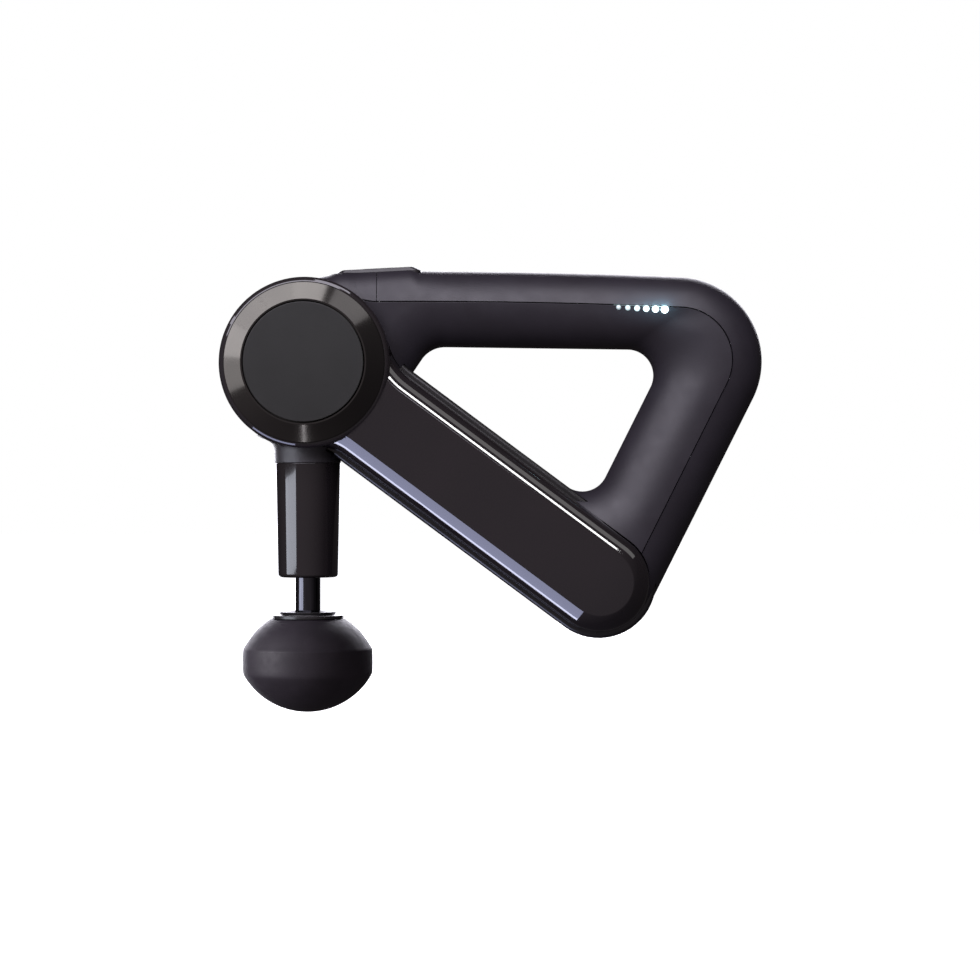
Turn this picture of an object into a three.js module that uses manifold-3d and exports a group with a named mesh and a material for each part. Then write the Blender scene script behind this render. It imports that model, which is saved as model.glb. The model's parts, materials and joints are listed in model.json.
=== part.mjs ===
// A handheld percussive massage gun: a round motor head on a diagonal battery arm, closed into a triangle by a loop
// handle, with a reciprocating shaft that carries a foam ball.
//
// Frame: millimetres. Y runs along the motor axis, from the front cap to the rear cap. Z is up, against the stroke.
// X runs from the head towards the handle's corner. The origin is the centre of the rear cap's flat face, on the
// motor axis. Inside the device group Y = 0 is the mid-plane, which also holds the percussion axis X = 0.

import * as THREE from "three";
import { mergeVertices } from "three/addons/utils/BufferGeometryUtils.js";
import Module from "manifold-3d";

const wasm = await Module();
wasm.setup();

// ---- driving dimensions ----

const HALF_DEPTH = 31; // mid-plane to either cap's outer face
const HEAD_R = 38.5; // frame outline round the motor
const ARM_HALF = 25.6; // half the frame's width along the arm
const ARM_LENGTH = 162.6; // motor axis to the centre of the arm's round end
const ARM_ANGLE = THREE.MathUtils.degToRad(36.6); // below the horizontal
const COVER_HEAD_R = 37.8; // outline of the two gloss covers
const COVER_HALF = 22.5;
const UPPER_FILLET = 29; // concave blends between head and arm
const LOWER_FILLET = 16;
const FRAME_HALF_DEPTH = 12; // the covers start here
const SHOULDER_HALF_DEPTH = 8.3; // the frame's full-width band
const COVER_FACE = 24.6; // half depth over the two covers
const WALL = 2.4;
const GAP = 0.3; // between touching pieces
const SEAM_GAP = 0.15; // half the gap at a parting line

const HANDLE_HALF_DEPTH = 16;
const BAR_TOP = 41.8; // crest of the top bar
const BAR_CREST_X = 50;
const BAR_RADIUS = 2700; // the bar's top edge droops this gently
const CORNER_START = 87.5; // degrees, where the bar's edge runs into the corner
const CORNER_R = 37.8;
const STRUT_WIDTH = 43.5;
const SPINE_WIDTH = 14; // outer silhouette to the seam
const HOLE_R = 11.6; // finger opening's two rounded corners
const HOLE_TOP_NORMAL = 89.24; // degrees
const HOLE_TOP_DISTANCE = 8.72; // from the motor axis
const THROAT_R = 12.6; // curve under the bar where it meets the head
const THROAT_X = 61.7;
const THROAT_END = 146; // degrees
const SHROUD_END_X = 31.4; // joint between neck shroud and spine cover

const PAD = { x: 31.7, z: 42.75, tilt: THREE.MathUtils.degToRad(-2.97), halfLength: 16.4, halfWidth: 9.3 };

const STROKE = 14;
const CRANK_R = STROKE / 2;
const ROD_LENGTH = 30;
const PIN_Z = -CRANK_R; // the crank rests at the bottom of its circle
const WRIST_Z = PIN_Z - ROD_LENGTH;
const ROD_HALF = 3.1; // half the connecting rod's thickness
const CRANK_FACE = 3.9; // front face of the crank wheel

const SHAFT_R = 5.75;
const SHAFT_END = -128;
const COLLAR_BOTTOM = -44.1;
const SLEEVE_BOTTOM = -95.4;
const HUB_TOP = -110.8;
const BALL_R = 29.1;
const BALL_BOTTOM = -155.9;
const DOME_R = 33.1;

const HEAD_SCREWS = [70, 160, 230].map((a) => [31 * Math.cos(rad(a)), 31 * Math.sin(rad(a))]);
const ARM_SCREWS = [52, 133, 172]; // distances along the arm's centreline
const HANDLE_SCREWS = [[100, 17], [158, -45]];
const VENTS = [-4.1, 0, 4.1].map((step) => 114.2 + step);
const LED_COUNT = 6;
const LED_PITCH = 4.06;
const LED_FIRST = [138.5, 24.6];
const LED_DROP = 0.2; // each LED sits this much lower than the last

// ---- materials ----

const finish = (color, roughness, metalness = 0) => new THREE.MeshStandardMaterial({ color, roughness, metalness });
const GLOSS = finish(0x141214, 0.06);
const GRAPHITE = finish(0x4a4849, 0.25, 0.7);
const SATIN = finish(0x333333, 0.45);
const SOFT_TOUCH = finish(0x46434b, 0.62);
const FRAME_PLASTIC = finish(0x1d1c1e, 0.35);
const RUBBER = finish(0x19191b, 0.8);
const FOAM = finish(0x443f49, 0.85);
const DARK_CHROME = finish(0x2a2a30, 0.12, 0.9);
const STEEL = finish(0x9a9ca0, 0.3, 0.9);
const BRONZE = finish(0xa87b45, 0.4, 0.8);
const ALUMINIUM = finish(0xb4b6b8, 0.35, 0.8);
const COPPER = finish(0xa8602f, 0.35, 0.8);
const MAGNET = finish(0x6f7276, 0.4, 0.6);
const BOARD = finish(0x1f5a38, 0.5);
const CELL_WRAP = finish(0x2c6fa8, 0.45);
const LENS = finish(0xf4f8ff, 0.3);
const WIRE = finish(0x8e1f1f, 0.5);

// ---- plane geometry: points are Vector2(x, z), angles in degrees ----

function rad(degrees) {
  return THREE.MathUtils.degToRad(degrees);
}

const point = (x, z) => new THREE.Vector2(x, z);
const normal = (degrees) => point(Math.cos(rad(degrees)), Math.sin(rad(degrees)));

// An arc from one angle to another, both ends included.
function arc(centre, radius, from, to, steps) {
  return Array.from({ length: steps + 1 }, (_, i) =>
    normal(from + ((to - from) * i) / steps).multiplyScalar(radius).add(centre));
}

// The point where the lines p.n1 = d1 and p.n2 = d2 cross.
function meet(n1, d1, n2, d2) {
  const det = n1.x * n2.y - n1.y * n2.x;
  return point((d1 * n2.y - d2 * n1.y) / det, (n1.x * d2 - n2.x * d1) / det);
}

// A point given along and across the arm, in the device's X and Z.
function onArm(along, across) {
  return point(along, across).rotateAround(point(0, 0), -ARM_ANGLE);
}

// The head circle and the arm's round-ended bar, joined by two concave fillets.
function gunOutline(head, half, inset = 0) {
  const r = head - inset;
  const w = half - inset;
  const blend = (radius) => {
    const f = radius + inset;
    const along = Math.sqrt((r + f) ** 2 - (w + f) ** 2);
    return { f, along, angle: THREE.MathUtils.radToDeg(Math.atan2(w + f, along)) };
  };
  const upper = blend(UPPER_FILLET);
  const lower = blend(LOWER_FILLET);
  const loop = [
    ...arc(point(ARM_LENGTH, 0), w, -90, 90, 12),
    ...arc(point(upper.along, w + upper.f), upper.f, 270, 180 + upper.angle, 3),
    ...arc(point(0, 0), r, upper.angle, 360 - lower.angle, 20).slice(1),
    ...arc(point(lower.along, -w - lower.f), lower.f, 180 - lower.angle, 90, 3).slice(1),
  ];
  return loop.map((p) => onArm(p.x, p.y));
}

const ARM_END = onArm(ARM_LENGTH, 0);
const BAR_CENTRE = point(BAR_CREST_X, BAR_TOP - BAR_RADIUS);
const CORNER = normal(CORNER_START).multiplyScalar(BAR_RADIUS - CORNER_R).add(BAR_CENTRE);

// The strut's outer edge is the line that touches the corner arc and the arm's round end.
const cornerFromEnd = CORNER.clone().sub(ARM_END);
const STRUT_NORMAL = THREE.MathUtils.radToDeg(
  cornerFromEnd.angle() - Math.acos((ARM_HALF - CORNER_R) / cornerFromEnd.length()));

// The loop's outer silhouette, moved inwards, from above the head to the arm's end.
function spineLine(inset, startX) {
  const start = 90 + THREE.MathUtils.radToDeg(Math.asin((BAR_CREST_X - startX) / BAR_RADIUS));
  return [
    ...arc(BAR_CENTRE, BAR_RADIUS - inset, start, CORNER_START, 4),
    ...arc(CORNER, CORNER_R - inset, CORNER_START, STRUT_NORMAL, 9).slice(1),
    normal(STRUT_NORMAL).multiplyScalar(ARM_HALF - inset).add(ARM_END),
  ];
}

// The finger opening, made larger all round by grow.
function fingerHole(grow) {
  const strut = normal(STRUT_NORMAL);
  const top = normal(HOLE_TOP_NORMAL);
  const arm = normal(90 - THREE.MathUtils.radToDeg(ARM_ANGLE));
  const throat = normal(THROAT_END);
  const strutLine = ARM_END.dot(strut) + ARM_HALF - STRUT_WIDTH;
  const upperCorner = meet(strut, strutLine - HOLE_R, top, HOLE_TOP_DISTANCE - HOLE_R);
  const lowerCorner = meet(strut, strutLine - HOLE_R, arm, ARM_HALF + HOLE_R);
  const throatCentre = meet(point(1, 0), THROAT_X, top, HOLE_TOP_DISTANCE - THROAT_R);
  const tip = meet(throat, throatCentre.dot(throat) + THROAT_R + grow, arm, ARM_HALF - grow);
  return [
    tip,
    ...arc(lowerCorner, HOLE_R + grow, -90 - THREE.MathUtils.radToDeg(ARM_ANGLE), STRUT_NORMAL, 5),
    ...arc(upperCorner, HOLE_R + grow, STRUT_NORMAL, HOLE_TOP_NORMAL, 6),
    ...arc(throatCentre, THROAT_R + grow, HOLE_TOP_NORMAL, THROAT_END, 3),
  ];
}

// The whole triangle of the handle. It reaches into the head and arm, which are cut away later.
function handleOutline(inset) {
  return [
    point(0, 0),
    point(6, 37.9 - inset),
    point(13, 39.6 - inset),
    ...spineLine(inset, 16),
    ARM_END,
  ];
}

// ---- solids ----

function toSolid(geometry) {
  const bare = geometry.index ? geometry.toNonIndexed() : geometry.clone();
  bare.deleteAttribute("normal");
  bare.deleteAttribute("uv");
  const merged = mergeVertices(bare, 1e-4);
  return new wasm.Manifold(new wasm.Mesh({
    numProp: 3,
    vertProperties: merged.attributes.position.array,
    triVerts: new Uint32Array(merged.index.array),
  }));
}

function toGeometry(solid) {
  const mesh = solid.getMesh();
  return new THREE.BufferGeometry()
    .setAttribute("position", new THREE.BufferAttribute(mesh.vertProperties, 3))
    .setIndex(new THREE.BufferAttribute(mesh.triVerts, 1));
}

const union = (solids) => solids.reduce((whole, next) => whole.add(next));
const without = (solid, cutters) => cutters.reduce((left, cutter) => left.subtract(cutter), solid);

// An outline in X and Z, extruded along Y, with edges rounded by round = [depth, inset].
function slab(outline, front, rear, { holes = [], round = [0, 0], segments = 2 } = {}) {
  const shape = new THREE.Shape(outline);
  shape.holes = holes.map((hole) => new THREE.Path(hole));
  const [thickness, size] = round;
  const geometry = new THREE.ExtrudeGeometry(shape, {
    depth: rear - front - 2 * thickness,
    bevelEnabled: thickness > 0,
    bevelThickness: thickness,
    bevelSize: size,
    bevelOffset: -size,
    bevelSegments: segments,
  });
  return toSolid(geometry.rotateX(Math.PI / 2).translate(0, rear - thickness, 0));
}

// A profile of [radius, height] turned round Y or Z. A profile that leaves the axis is closed on itself.
function turned(profile, axis, segments = 20) {
  const area = profile.reduce((sum, [r, h], i) => {
    const [nextR, nextH] = profile[(i + 1) % profile.length];
    return sum + r * nextH - nextR * h;
  }, 0);
  const ordered = area > 0 ? [...profile] : [...profile].reverse();
  const onAxis = ordered.findIndex(([r], i) => r === 0 && ordered.at(i - 1)[0] === 0);
  const open = onAxis >= 0 ? [...ordered.slice(onAxis), ...ordered.slice(0, onAxis)] : [...ordered, ordered[0]];
  const geometry = new THREE.LatheGeometry(open.map(([r, h]) => new THREE.Vector2(r, h)), segments);
  return toSolid(axis === "z" ? geometry.rotateX(Math.PI / 2) : geometry);
}

const disc = (radius, low, high, axis, segments) =>
  turned([[0, low], [radius, low], [radius, high], [0, high]], axis, segments);
const ring = (inner, outer, low, high, axis, segments) =>
  turned([[inner, low], [outer, low], [outer, high], [inner, high]], axis, segments);
const box = (x, y, z) => toSolid(new THREE.BoxGeometry(x[1] - x[0], y[1] - y[0], z[1] - z[0])
  .translate((x[0] + x[1]) / 2, (y[0] + y[1]) / 2, (z[0] + z[1]) / 2));

const FAR = 400;
const side = (low, high, axis) => {
  const all = [-FAR, FAR];
  return box(axis === "x" ? [low, high] : all, axis === "y" ? [low, high] : all, all);
};

// A rectangle with round corners, centred, as an outline.
function roundedRectangle(halfX, halfZ, radius, steps) {
  const corners = [[1, 1, 0], [-1, 1, 90], [-1, -1, 180], [1, -1, 270]];
  return corners.flatMap(([sx, sz, from]) =>
    arc(point(sx * (halfX - radius), sz * (halfZ - radius)), radius, from, from + 90, steps));
}

// ---- scene graph ----

const root = new THREE.Group();
const device = new THREE.Group(); // Y = 0 is the mid-plane
const arm = new THREE.Group(); // X along the arm, Z across it
const pad = new THREE.Group(); // Z = 0 is the button pad's face
device.position.y = -HALF_DEPTH;
arm.rotation.y = ARM_ANGLE;
pad.position.set(PAD.x, 0, PAD.z);
pad.rotation.y = PAD.tilt;
root.add(device);
device.add(arm, pad);

function add(name, solid, material, parent = device) {
  const mesh = new THREE.Mesh(toGeometry(solid), material);
  mesh.name = name;
  parent.add(mesh);
  return mesh;
}

// Turns a solid built in the arm's or the pad's own frame into the device's frame, to cut with.
const fromArm = (solid) => solid.rotate([0, THREE.MathUtils.radToDeg(ARM_ANGLE), 0]);
const fromPad = (solid) => solid.rotate([0, THREE.MathUtils.radToDeg(PAD.tilt), 0]).translate([PAD.x, 0, PAD.z]);

// ---- fasteners ----

const SCREW = { headR: 2.6, headHeight: 2, shankR: 1.25, bossR: 3.3, counterboreR: 2.95, pilotR: 1.6 };
const screwPlaces = [...HEAD_SCREWS, ...ARM_SCREWS.map((a) => onArm(a, 0).toArray())];

// A socket-head screw that points to the front, with the underside of its head at Y = 0.
function screw(length) {
  const socket = disc(1.25, 0.8, 3, "y", 6);
  const blank = turned([[0, -length], [SCREW.shankR, -length], [SCREW.shankR, 0], [SCREW.headR, 0],
    [SCREW.headR, 1.5], [2.1, SCREW.headHeight], [0, SCREW.headHeight]], "y", 10);
  return blank.subtract(socket);
}

const bore = (places, radius, front, rear) =>
  places.map(([x, z]) => disc(radius, front, rear, "y", 10).translate([x, 0, z]));

// ---- chassis and covers ----

function midFrame() {
  const band = slab(gunOutline(HEAD_R, ARM_HALF), -SHOULDER_HALF_DEPTH, SHOULDER_HALF_DEPTH, { round: [0.8, 0.8], segments: 1 });
  const core = slab(gunOutline(COVER_HEAD_R, COVER_HALF), -FRAME_HALF_DEPTH, FRAME_HALF_DEPTH);
  const inside = slab(gunOutline(35.2, 20.6), -FAR, FAR);
  const vents = VENTS.map((along) => fromArm(slab(
    roundedRectangle(1.3, 8, 1.2, 2), -3, 3).rotate([90, 0, 0]).translate([along, 0, -ARM_HALF])));
  const shaftHole = disc(10.2, -60, -20, "z", 24);
  const jackHole = disc(5.1, -140, -100, "z", 20).translate([ARM_END.x, 0, 0]);
  const cableHole = disc(3, 20, 50, "z", 12).rotate([0, 90 - 37, 0]).translate([0, -5, 0]);
  return without(band.add(core), [inside, ...vents, shaftHole, jackHole, cableHole]);
}

// Both covers are halves of this shell: a flat-topped drum over the motor and a round-edged bar over the battery.
function coverShell() {
  const drum = turned([[0, -25], [35.8, -25], [COVER_HEAD_R, -23], [COVER_HEAD_R, 23], [35.8, 25], [0, 25]], "y", 32);
  const bar = slab(gunOutline(COVER_HEAD_R, COVER_HALF), -COVER_FACE, COVER_FACE, { round: [9, 8] })
    .subtract(disc(34, -FAR, FAR, "y", 32));
  const inDrum = disc(35.2, -22.6, 22.6, "y", 30);
  const inBar = slab(gunOutline(COVER_HEAD_R, COVER_HALF, 2), 2 - COVER_FACE, COVER_FACE - 2,
    { round: [7, 6], segments: 1 });
  const opening = disc(24, -30, 30, "y", 30);
  return without(drum.add(bar), [inDrum, inBar, opening]);
}

function covers() {
  const shell = coverShell();
  const front = shell.intersect(side(-FAR, -FRAME_HALF_DEPTH - GAP, "y"));
  const rear = shell.intersect(side(FRAME_HALF_DEPTH + GAP, FAR, "y"));
  const frontBosses = bore(screwPlaces, SCREW.bossR, -23, FRAME_HALF_DEPTH - 0.2);
  const rearBosses = bore(screwPlaces, SCREW.bossR, FRAME_HALF_DEPTH + 0.3, 23);
  const frontCover = without(union([front, ...frontBosses]), bore(screwPlaces, SCREW.pilotR, -4, 30));
  const rearCover = without(union([rear, ...rearBosses]), [
    ...bore(screwPlaces, SCREW.pilotR, 10, 40),
    ...bore(screwPlaces, SCREW.counterboreR, 16, 40),
  ]);
  add("front_cover", frontCover, GLOSS);
  add("rear_cover", rearCover, GLOSS);
}

// The plain cap at the front sits inside a bevelled ring. The rear cap is one piece with the vents in it.
function caps() {
  add("front_bezel_ring", turned([[26.9, -25.3], [35.6, -25.3], [35.6, -26.2], [34.9, -26.9], [27.5, -30.7],
    [26.9, -30.7]], "y", 36), GRAPHITE);
  add("front_cap", turned([[0, -HALF_DEPTH], [25.9, -HALF_DEPTH], [26.5, -30.4], [26.5, -25.3], [23.6, -25.3],
    [23.6, -22], [21.6, -22], [21.6, -28.2], [0, -28.2]], "y", 36), SATIN);
  const blank = turned([[0, HALF_DEPTH], [26.4, HALF_DEPTH], [35.6, 26.2], [35.6, 25.3], [23.6, 25.3], [23.6, 23],
    [21.6, 23], [21.6, 28.4], [0, 28.4]], "y", 36);
  const slots = Array.from({ length: 12 }, (_, i) =>
    slab(roundedRectangle(4.2, 1.1, 1, 1), 20, 40).translate([16, 0, 0]).rotate([0, 30 * i, 0]));
  add("rear_cap", without(blank, slots), SATIN);
}

// ---- handle ----

function padBlock(grow, low, high) {
  const { halfLength, halfWidth } = PAD;
  return box([-halfLength - 1.4 - grow, halfLength + 1.4 + grow], [-halfWidth - grow, halfWidth + grow], [low, high]);
}

function handleShell() {
  const outside = slab(handleOutline(0), -HANDLE_HALF_DEPTH, HANDLE_HALF_DEPTH,
    { holes: [fingerHole(0)], round: [9, 9] });
  const inside = slab(handleOutline(WALL), WALL - HANDLE_HALF_DEPTH, HANDLE_HALF_DEPTH - WALL,
    { holes: [fingerHole(WALL)], round: [7, 7], segments: 1 });
  const frame = slab(gunOutline(HEAD_R, ARM_HALF, -GAP), -SHOULDER_HALF_DEPTH - GAP, SHOULDER_HALF_DEPTH + GAP);
  const cover = slab(gunOutline(COVER_HEAD_R, COVER_HALF, -GAP), -FAR, FAR);
  return without(outside, [inside, frame, cover, fromPad(padBlock(GAP, -8, 8))]);
}

const spineBand = (width) =>
  slab([...spineLine(-5, -10), ...spineLine(width, -10).reverse()], -FAR, FAR);

function handle() {
  const shell = handleShell();
  const spine = shell.intersect(spineBand(SPINE_WIDTH - SEAM_GAP));
  const inner = shell.subtract(spineBand(SPINE_WIDTH + SEAM_GAP));
  add("spine_cover", spine.intersect(side(SHROUD_END_X + SEAM_GAP, FAR, "x")), SOFT_TOUCH);
  add("neck_shroud", spine.intersect(side(-FAR, SHROUD_END_X - SEAM_GAP, "x")), SOFT_TOUCH);
  const front = inner.intersect(side(-FAR, -SEAM_GAP, "y"));
  const rear = inner.intersect(side(SEAM_GAP, FAR, "y"));
  const ledHoles = bore(ledPlaces(), 1.15, -20, -8);
  const frontShell = without(union([front, ...bore(HANDLE_SCREWS, SCREW.bossR, -14, -SEAM_GAP)]),
    [...bore(HANDLE_SCREWS, SCREW.pilotR, -10, 5), ...ledHoles]);
  const rearShell = without(union([rear, ...bore(HANDLE_SCREWS, SCREW.bossR, SEAM_GAP, 14)]),
    [...bore(HANDLE_SCREWS, SCREW.pilotR, -5, 20), ...bore(HANDLE_SCREWS, SCREW.counterboreR, 8, 20)]);
  add("handle_shell_front", frontShell, SOFT_TOUCH);
  add("handle_shell_rear", rearShell, SOFT_TOUCH);
}

// ---- power button ----

function powerButton() {
  const { halfLength, halfWidth } = PAD;
  const flank = [[-halfLength - 1.4, -3.6], [halfLength + 1.4, -3.6], [halfLength + 1.4, -1.1], [halfLength, 0],
    [-halfLength, 0], [-halfLength - 1.4, -1.1]].map(([x, z]) => point(x, z));
  const window = slab(roundedRectangle(10.3, 4.7, 2.8, 2), -10, 10).rotate([90, 0, 0]);
  add("button_bezel", slab(flank, -halfWidth, halfWidth, { round: [0.8, 0.8], segments: 1 }).subtract(window),
    FRAME_PLASTIC, pad);
  const cap = slab(roundedRectangle(9.95, 4.35, 2.5, 2), -3.4, 0.35, { round: [0.5, 0.5], segments: 1 })
    .rotate([90, 0, 0]);
  const stem = disc(2, -5.2, -3, "z", 12).translate([3, 0, 0]);
  add("power_button", cap.add(stem), RUBBER, pad);
  const actuator = disc(1.7, -7.5, -6.3, "z", 12).translate([3, 0, 0]);
  add("tact_switch", box([0, 6], [-3, 3], [-9.8, -7.3]).add(actuator), STEEL, pad);
  add("button_board", box([-3.5, 14], [-6, 6], [-11.3, -10.1]), BOARD, pad);
}

// ---- indicator lights ----

function ledPlaces() {
  return Array.from({ length: LED_COUNT }, (_, i) => [LED_FIRST[0] + LED_PITCH * i, LED_FIRST[1] - LED_DROP * i]);
}

function indicator() {
  const places = ledPlaces();
  const slope = Math.atan2(LED_DROP, LED_PITCH);
  const last = places.at(-1);
  const middle = [(LED_FIRST[0] + last[0]) / 2, 0, (LED_FIRST[1] + last[1]) / 2];
  const tilted = (solid) => solid.rotate([0, THREE.MathUtils.radToDeg(slope), 0]).translate(middle);
  const bar = tilted(box([-12, 12], [-13.2, -11.2], [-1.5, 1.5]));
  const pips = bore(places, 0.95, -15.95, -12);
  add("led_light_guide", union([bar, ...pips]), LENS);
  add("led_board", tilted(box([-13, 13], [-10.8, -9.4], [-3, 3])), BOARD);
}

// ---- nose and stroke ----

function nose() {
  const collar = ring(10.4, 14.6, COLLAR_BOTTOM, -30, "z", 28);
  const head = slab(gunOutline(HEAD_R, ARM_HALF, -GAP), -FAR, FAR);
  const flare = turned([[14.5, -39.5], [15.6, -37.6], [18.6, -35.4], [18.6, -30], [10.4, -30], [10.4, -39.5]], "z", 28);
  add("nose_collar", collar.add(flare).subtract(head), FRAME_PLASTIC);
  add("nose_sleeve", turned([[14.5, COLLAR_BOTTOM - GAP], [13.5, -94], [13.1, -95], [12.2, SLEEVE_BOTTOM],
    [9.9, SLEEVE_BOTTOM], [9.9, -92.4], [9.25, -92.4], [9.25, -47.5], [10.6, -47.5], [10.6, COLLAR_BOTTOM - GAP]],
  "z", 28), GLOSS);
  add("upper_bushing", ring(SHAFT_R + 0.2, 9, -62, -48, "z"), BRONZE);
  add("lower_bushing", ring(SHAFT_R + 0.2, 9, -92, -76, "z"), BRONZE);
  add("wiper_seal", turned([[SHAFT_R + 0.15, -94.9], [6.6, -95.1], [9.6, -95.1], [9.6, -92.7], [6.6, -92.7],
    [SHAFT_R + 0.15, -94]], "z"), RUBBER);
}

function percussionShaft() {
  const rod = turned([[0, SHAFT_END], [4.9, SHAFT_END], [SHAFT_R, SHAFT_END + 1], [SHAFT_R, -122.2], [4, -122.2],
    [4, -119.8], [SHAFT_R, -119.8], [SHAFT_R, -44], [0, -44]], "z");
  const fork = box([-6.3, 6.3], [-6.3, 6.3], [-45.2, WRIST_Z + 6.4]);
  const slot = box([-10, 10], [-ROD_HALF - 0.35, ROD_HALF + 0.35], [WRIST_Z - 6.2, 0]);
  const eye = disc(2.75, -10, 10, "y", 16).translate([0, 0, WRIST_Z]);
  add("percussion_shaft", without(rod.add(fork), [slot, eye]), DARK_CHROME);
  add("wrist_pin", disc(2.5, -6.2, 6.2, "y", 14), STEEL).position.z = WRIST_Z;
  const section = arc(point(5, -121), 0.85, 0, 300, 5).map((p) => [p.x, p.y]);
  add("shaft_o_ring", turned(section, "z", 16), RUBBER);
}

function connectingRod() {
  const bigEnd = disc(10.2, -ROD_HALF, ROD_HALF, "y", 24).translate([0, 0, PIN_Z]);
  const smallEnd = disc(5.6, -ROD_HALF, ROD_HALF, "y", 18).translate([0, 0, WRIST_Z]);
  const shank = box([-3.8, 3.8], [-2.2, 2.2], [WRIST_Z, PIN_Z]);
  const seat = disc(7.1, -10, 10, "y", 24).translate([0, 0, PIN_Z]);
  const eye = disc(2.75, -10, 10, "y", 16).translate([0, 0, WRIST_Z]);
  add("connecting_rod", without(union([bigEnd, smallEnd, shank]), [seat, eye]), ALUMINIUM);
  add("big_end_bearing", ring(3.25, 6.85, -3, 3, "y", 24), STEEL).position.z = PIN_Z;
  add("crank_pin", disc(3, -3, CRANK_FACE - 0.35, "y", 16), STEEL).position.z = PIN_Z;
}

// ---- motor ----

function motor() {
  const plate = [...arc(point(0, 0), 14.5, 30, 150, 8), ...arc(point(0, 0), 10.5, 150, 390, 14)];
  const wheel = slab(plate, CRANK_FACE, CRANK_FACE + 2.5);
  const pinSocket = disc(3.2, 0, 10, "y", 16).translate([0, 0, PIN_Z]);
  add("crank_wheel", without(wheel, [disc(2.7, 0, 10, "y", 16), pinSocket]), STEEL);
  add("motor_shaft", disc(2.4, CRANK_FACE, 21.4, "y", 16), STEEL);
  add("rotor_bell", turned([[2.75, 6.8], [23.2, 6.8], [24, 7.6], [24, 19.4], [22.1, 19.4], [22.1, 8.8], [4.5, 8.8],
    [4.5, 10.3], [2.75, 10.3]], "y", 30), ALUMINIUM);
  add("magnet_ring", ring(20.4, 21.8, 10.4, 19.2, "y", 30), MAGNET);
  const teeth = 12;
  const star = Array.from({ length: teeth }, (_, i) => {
    const centre = (360 / teeth) * i;
    return [[19.6, -13], [19.6, 0], [19.6, 13], [17.8, 13], [17.6, 5], [10, 9], [10, 21], [17.6, 25], [17.8, 17]]
      .map(([r, offset]) => normal(centre + offset).multiplyScalar(r));
  }).flat();
  add("stator", slab(star, 11.2, 19, { holes: [arc(point(0, 0), 6.95, 0, 340, 17)] }), COPPER);
  const mount = turned([[5.35, 10.7], [6.6, 10.7], [6.6, 19.9], [27.2, 19.9], [27.2, 21.8], [5.35, 21.8]], "y", 28);
  const airHoles = Array.from({ length: 6 }, (_, i) =>
    disc(3.6, 15, 25, "y", 10).translate([14.5, 0, 0]).rotate([0, 60 * i, 0]));
  add("motor_mount", without(mount, airHoles), ALUMINIUM);
  add("motor_bearing_front", ring(2.7, 5.1, 10.9, 14.4, "y", 18), STEEL);
  add("motor_bearing_rear", ring(2.7, 5.1, 17.6, 21.1, "y", 18), STEEL);
}

// ---- electronics ----

function electronics() {
  add("controller_board", slab(arc(point(0, 0), 26, 0, 345, 23), -14.6, -13,
    { holes: [arc(point(0, 0), 4, 0, 330, 11)] }), BOARD);
  const fins = [-6, -2, 2, 6].map((x) => box([x - 0.7, x + 0.7], [-21, -16], [-20, -8]));
  add("heat_sink", union([box([-8, 8], [-17, -14.9], [-20, -8]), ...fins]), ALUMINIUM);
  add("capacitor", disc(4, -21.6, -14.9, "y", 16), STEEL).position.set(-14, 0, 10);
  const spacing = 9.9;
  const cell = disc(9.2, -32.5, 32.5, "z", 20);
  const spots = [[-1, -1], [1, -1], [-1, 1], [1, 1]];
  spots.forEach(([y, z], i) => {
    const mesh = add(`battery_cell_${i + 1}`, cell, CELL_WRAP, arm);
    mesh.rotation.y = Math.PI / 2;
    mesh.position.set(93, spacing * y, spacing * z);
  });
  const sockets = spots.map(([y, z]) => disc(9.5, -20, 20, "z", 20).translate([spacing * y, spacing * z, 0]));
  const holder = without(
    slab(roundedRectangle(20.1, 20.1, 10.4, 3), -4, 4).rotate([90, 0, 0]), sockets);
  [["battery_holder_upper", 68], ["battery_holder_lower", 118]].forEach(([name, along]) => {
    const mesh = add(name, holder, FRAME_PLASTIC, arm);
    mesh.rotation.y = Math.PI / 2;
    mesh.position.x = along;
  });
}

function chargePort() {
  const jack = turned([[3, -121.6], [4.7, -121.6], [4.7, -112.4], [0, -112.4], [0, -114], [3, -114]], "z", 20);
  add("charge_jack", jack, FRAME_PLASTIC).position.x = ARM_END.x;
  add("charge_pin", disc(0.9, -119.6, -114.3, "z", 10), STEEL).position.x = ARM_END.x;
  add("charge_board", box([-9, 9], [-8, 8], [-111.8, -110.4]), BOARD).position.x = ARM_END.x;
}

// An insulated lead along a smooth curve through points [x, y, z].
function lead(name, points, radius) {
  const curve = new THREE.CatmullRomCurve3(points.map((p) => new THREE.Vector3(...p)));
  const section = new THREE.Shape(arc(point(0, 0), radius, 0, 300, 5));
  const geometry = new THREE.ExtrudeGeometry(section, { steps: 14, extrudePath: curve });
  add(name, toSolid(geometry), WIRE);
}

function wiring() {
  const start = onArm(57, 9.9);
  const bend = onArm(46, 9);
  const plug = onArm(28, 9);
  lead("battery_lead", [[start.x, 0, start.y], [bend.x, -9, bend.y], [plug.x, -13.8, plug.y]], 1.2);
  lead("handle_lead", [[22.6, -13.8, 17], [25.6, -8.6, 19.2], [30.4, -5, 22.9], [40, -3, 27], [70, 0, 27], [110, 0, 26],
    [134, -7.5, 24.5]], 1.2);
}

// ---- attachment ----

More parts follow.
